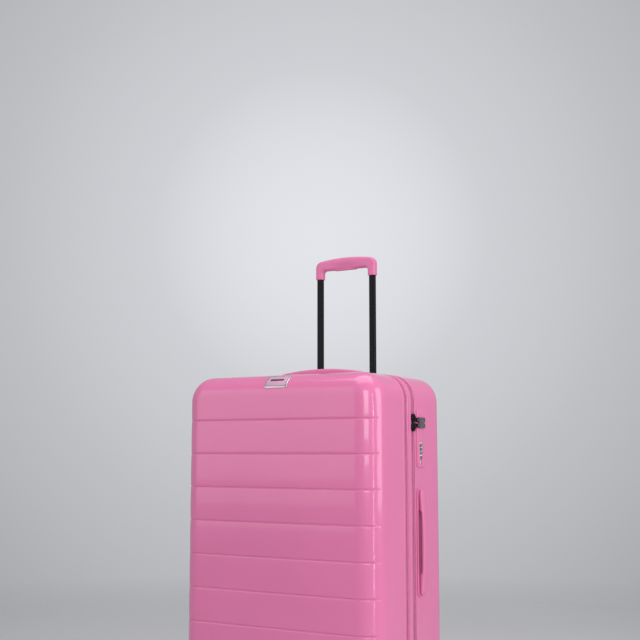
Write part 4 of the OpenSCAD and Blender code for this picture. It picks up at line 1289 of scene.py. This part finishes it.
def hinge_cloth():
    """Woven strip along the left side, from the band across the zip line to the rear shell."""
    y0, y1 = BAND_LO.y + 2 * MM, HINGE_HI.y
    loops = []
    x = HINGE_LO.x + 0.6 * MM
    for y in np.linspace(y0, y1, 25):
        loops.append([(x, y, z) for z in np.linspace(HINGE_LO.z, HINGE_HI.z, 60)]
                     + [(x + 0.7 * MM, y, z) for z in np.linspace(HINGE_HI.z, HINGE_LO.z, 60)])
    return loft("hinge_tape_cloth", loops, WEBBING, sharp=60)


hinge = hinge_cloth()
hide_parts("hinge_tape")
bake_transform(hinge)

# CAD nodes that keep their own meshes and only take a finish
for node, finish in (("trolley_outer_tubes", TUBE), ("trolley_guides", BLACK), ("trolley_foot", BLACK),
                     ("rear_screws", STEEL), ("front_screws", STEEL), ("trolley_push_rods", STEEL)):
    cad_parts[node].data.materials.clear()
    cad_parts[node].data.materials.append(finish)


# -------- floor, light and camera

def floor():
    """Pale studio floor that fades out into the background."""
    count, rings = 96, (0.0, 0.5, 1.0, 2.0, 3.5, 6.0)
    verts = [(0, 0, 0)] + [(r * math.cos(2 * math.pi * k / count), r * math.sin(2 * math.pi * k / count), 0)
                           for r in rings[1:] for k in range(count)]
    faces = [(0, 1 + k, 1 + (k + 1) % count) for k in range(count)]
    for ring in range(len(rings) - 2):
        a, b = 1 + ring * count, 1 + (ring + 1) * count
        faces += [(a + k, b + k, b + (k + 1) % count, a + (k + 1) % count) for k in range(count)]
    made = add_mesh("studio_floor", verts, faces)
    s = Shader("studio_floor", roughness=0.6, specular_ior_level=0.2)
    s.colour(s.noise(2.0), (0.3, (0.60, 0.60, 0.615)), (0.7, (0.63, 0.63, 0.645)))
    distance = s.node("ShaderNodeVectorMath")
    distance.operation = "LENGTH"
    s.link(s.coord.outputs["Object"], distance.inputs[0])
    fade = s.curve(distance.outputs["Value"], 0.7, 3.0, 0.0, 1.0)
    clear = s.node("ShaderNodeBsdfTransparent")
    blend = s.node("ShaderNodeMixShader")
    s.link(fade, blend.inputs[0])
    s.link(s.out.outputs[0], blend.inputs[1])
    s.link(clear.outputs[0], blend.inputs[2])
    output = [n for n in s.tree.nodes if n.type == "OUTPUT_MATERIAL"][0]
    s.link(blend.outputs[0], output.inputs["Surface"])
    made.data.materials.append(s.mat)


floor()

CAMERA_AT = Vector((1.2532, -2.0752, 0.6037))
CAMERA_YAW = math.radians(30.837)
CAMERA_PITCH = math.radians(6.925)
FOCAL_PIXELS = 1079.6
PICTURE_PIXELS = 640
SENSOR_MM = 36.0
camera_data = bpy.data.cameras.new("camera")
camera_data.sensor_width = SENSOR_MM
camera_data.lens = SENSOR_MM * FOCAL_PIXELS / PICTURE_PIXELS
camera = add_object("camera", camera_data)
camera.location = CAMERA_AT
camera.rotation_euler = (math.pi / 2 + CAMERA_PITCH, 0, CAMERA_YAW)
bpy.context.scene.camera = camera
bpy.context.scene.view_settings.view_transform = "Standard"

world = bpy.data.worlds.new("studio")
world.use_nodes = True
bpy.context.scene.world = world
tree = world.node_tree
background = tree.nodes["Background"]
direction = tree.nodes.new("ShaderNodeTexCoord")
aim = tree.nodes.new("ShaderNodeVectorMath")
aim.operation = "DOT_PRODUCT"
aim.inputs[1].default_value = Vector((-math.sin(CAMERA_YAW), math.cos(CAMERA_YAW), 0.20)).normalized()
tree.links.new(direction.outputs["Generated"], aim.inputs[0])
glow = tree.nodes.new("ShaderNodeValToRGB")
GLOW = ((0.90, 0.37), (0.961, 0.52), (0.988, 0.62), (1.0, 0.77))
fill_ramp(glow, [(at, (grey, grey * 1.01, grey * 1.06)) for at, grey in GLOW])
tree.links.new(aim.outputs["Value"], glow.inputs["Fac"])
tree.links.new(glow.outputs["Color"], background.inputs["Color"])
background.inputs["Strength"].default_value = 1.0


def area_light(name, at, size, power, aim_at=(0, 0, 0.45)):
    """A rectangular lamp aimed at a point."""
    data = bpy.data.lights.new(name, "AREA")
    data.shape = "RECTANGLE"
    data.size, data.size_y = size
    data.energy = power
    made = add_object(name, data)
    made.location = at
    made.rotation_euler = (Vector(aim_at) - Vector(at)).to_track_quat("-Z", "Y").to_euler()


area_light("key_right", (1.3, -1.9, 1.2), (0.9, 1.2), 17)
area_light("side_right", (2.7, 0.3, 1.3), (1.4, 2.0), 32)
area_light("fill_left", (-1.8, -2.2, 1.4), (2.0, 2.2), 15)
area_light("overhead", (0.2, -0.2, 2.7), (2.2, 1.6), 26)
area_light("corner_strip", (1.95, -0.95, 0.55), (0.04, 1.5), 4, aim_at=(0.2, -0.1, 0.5))
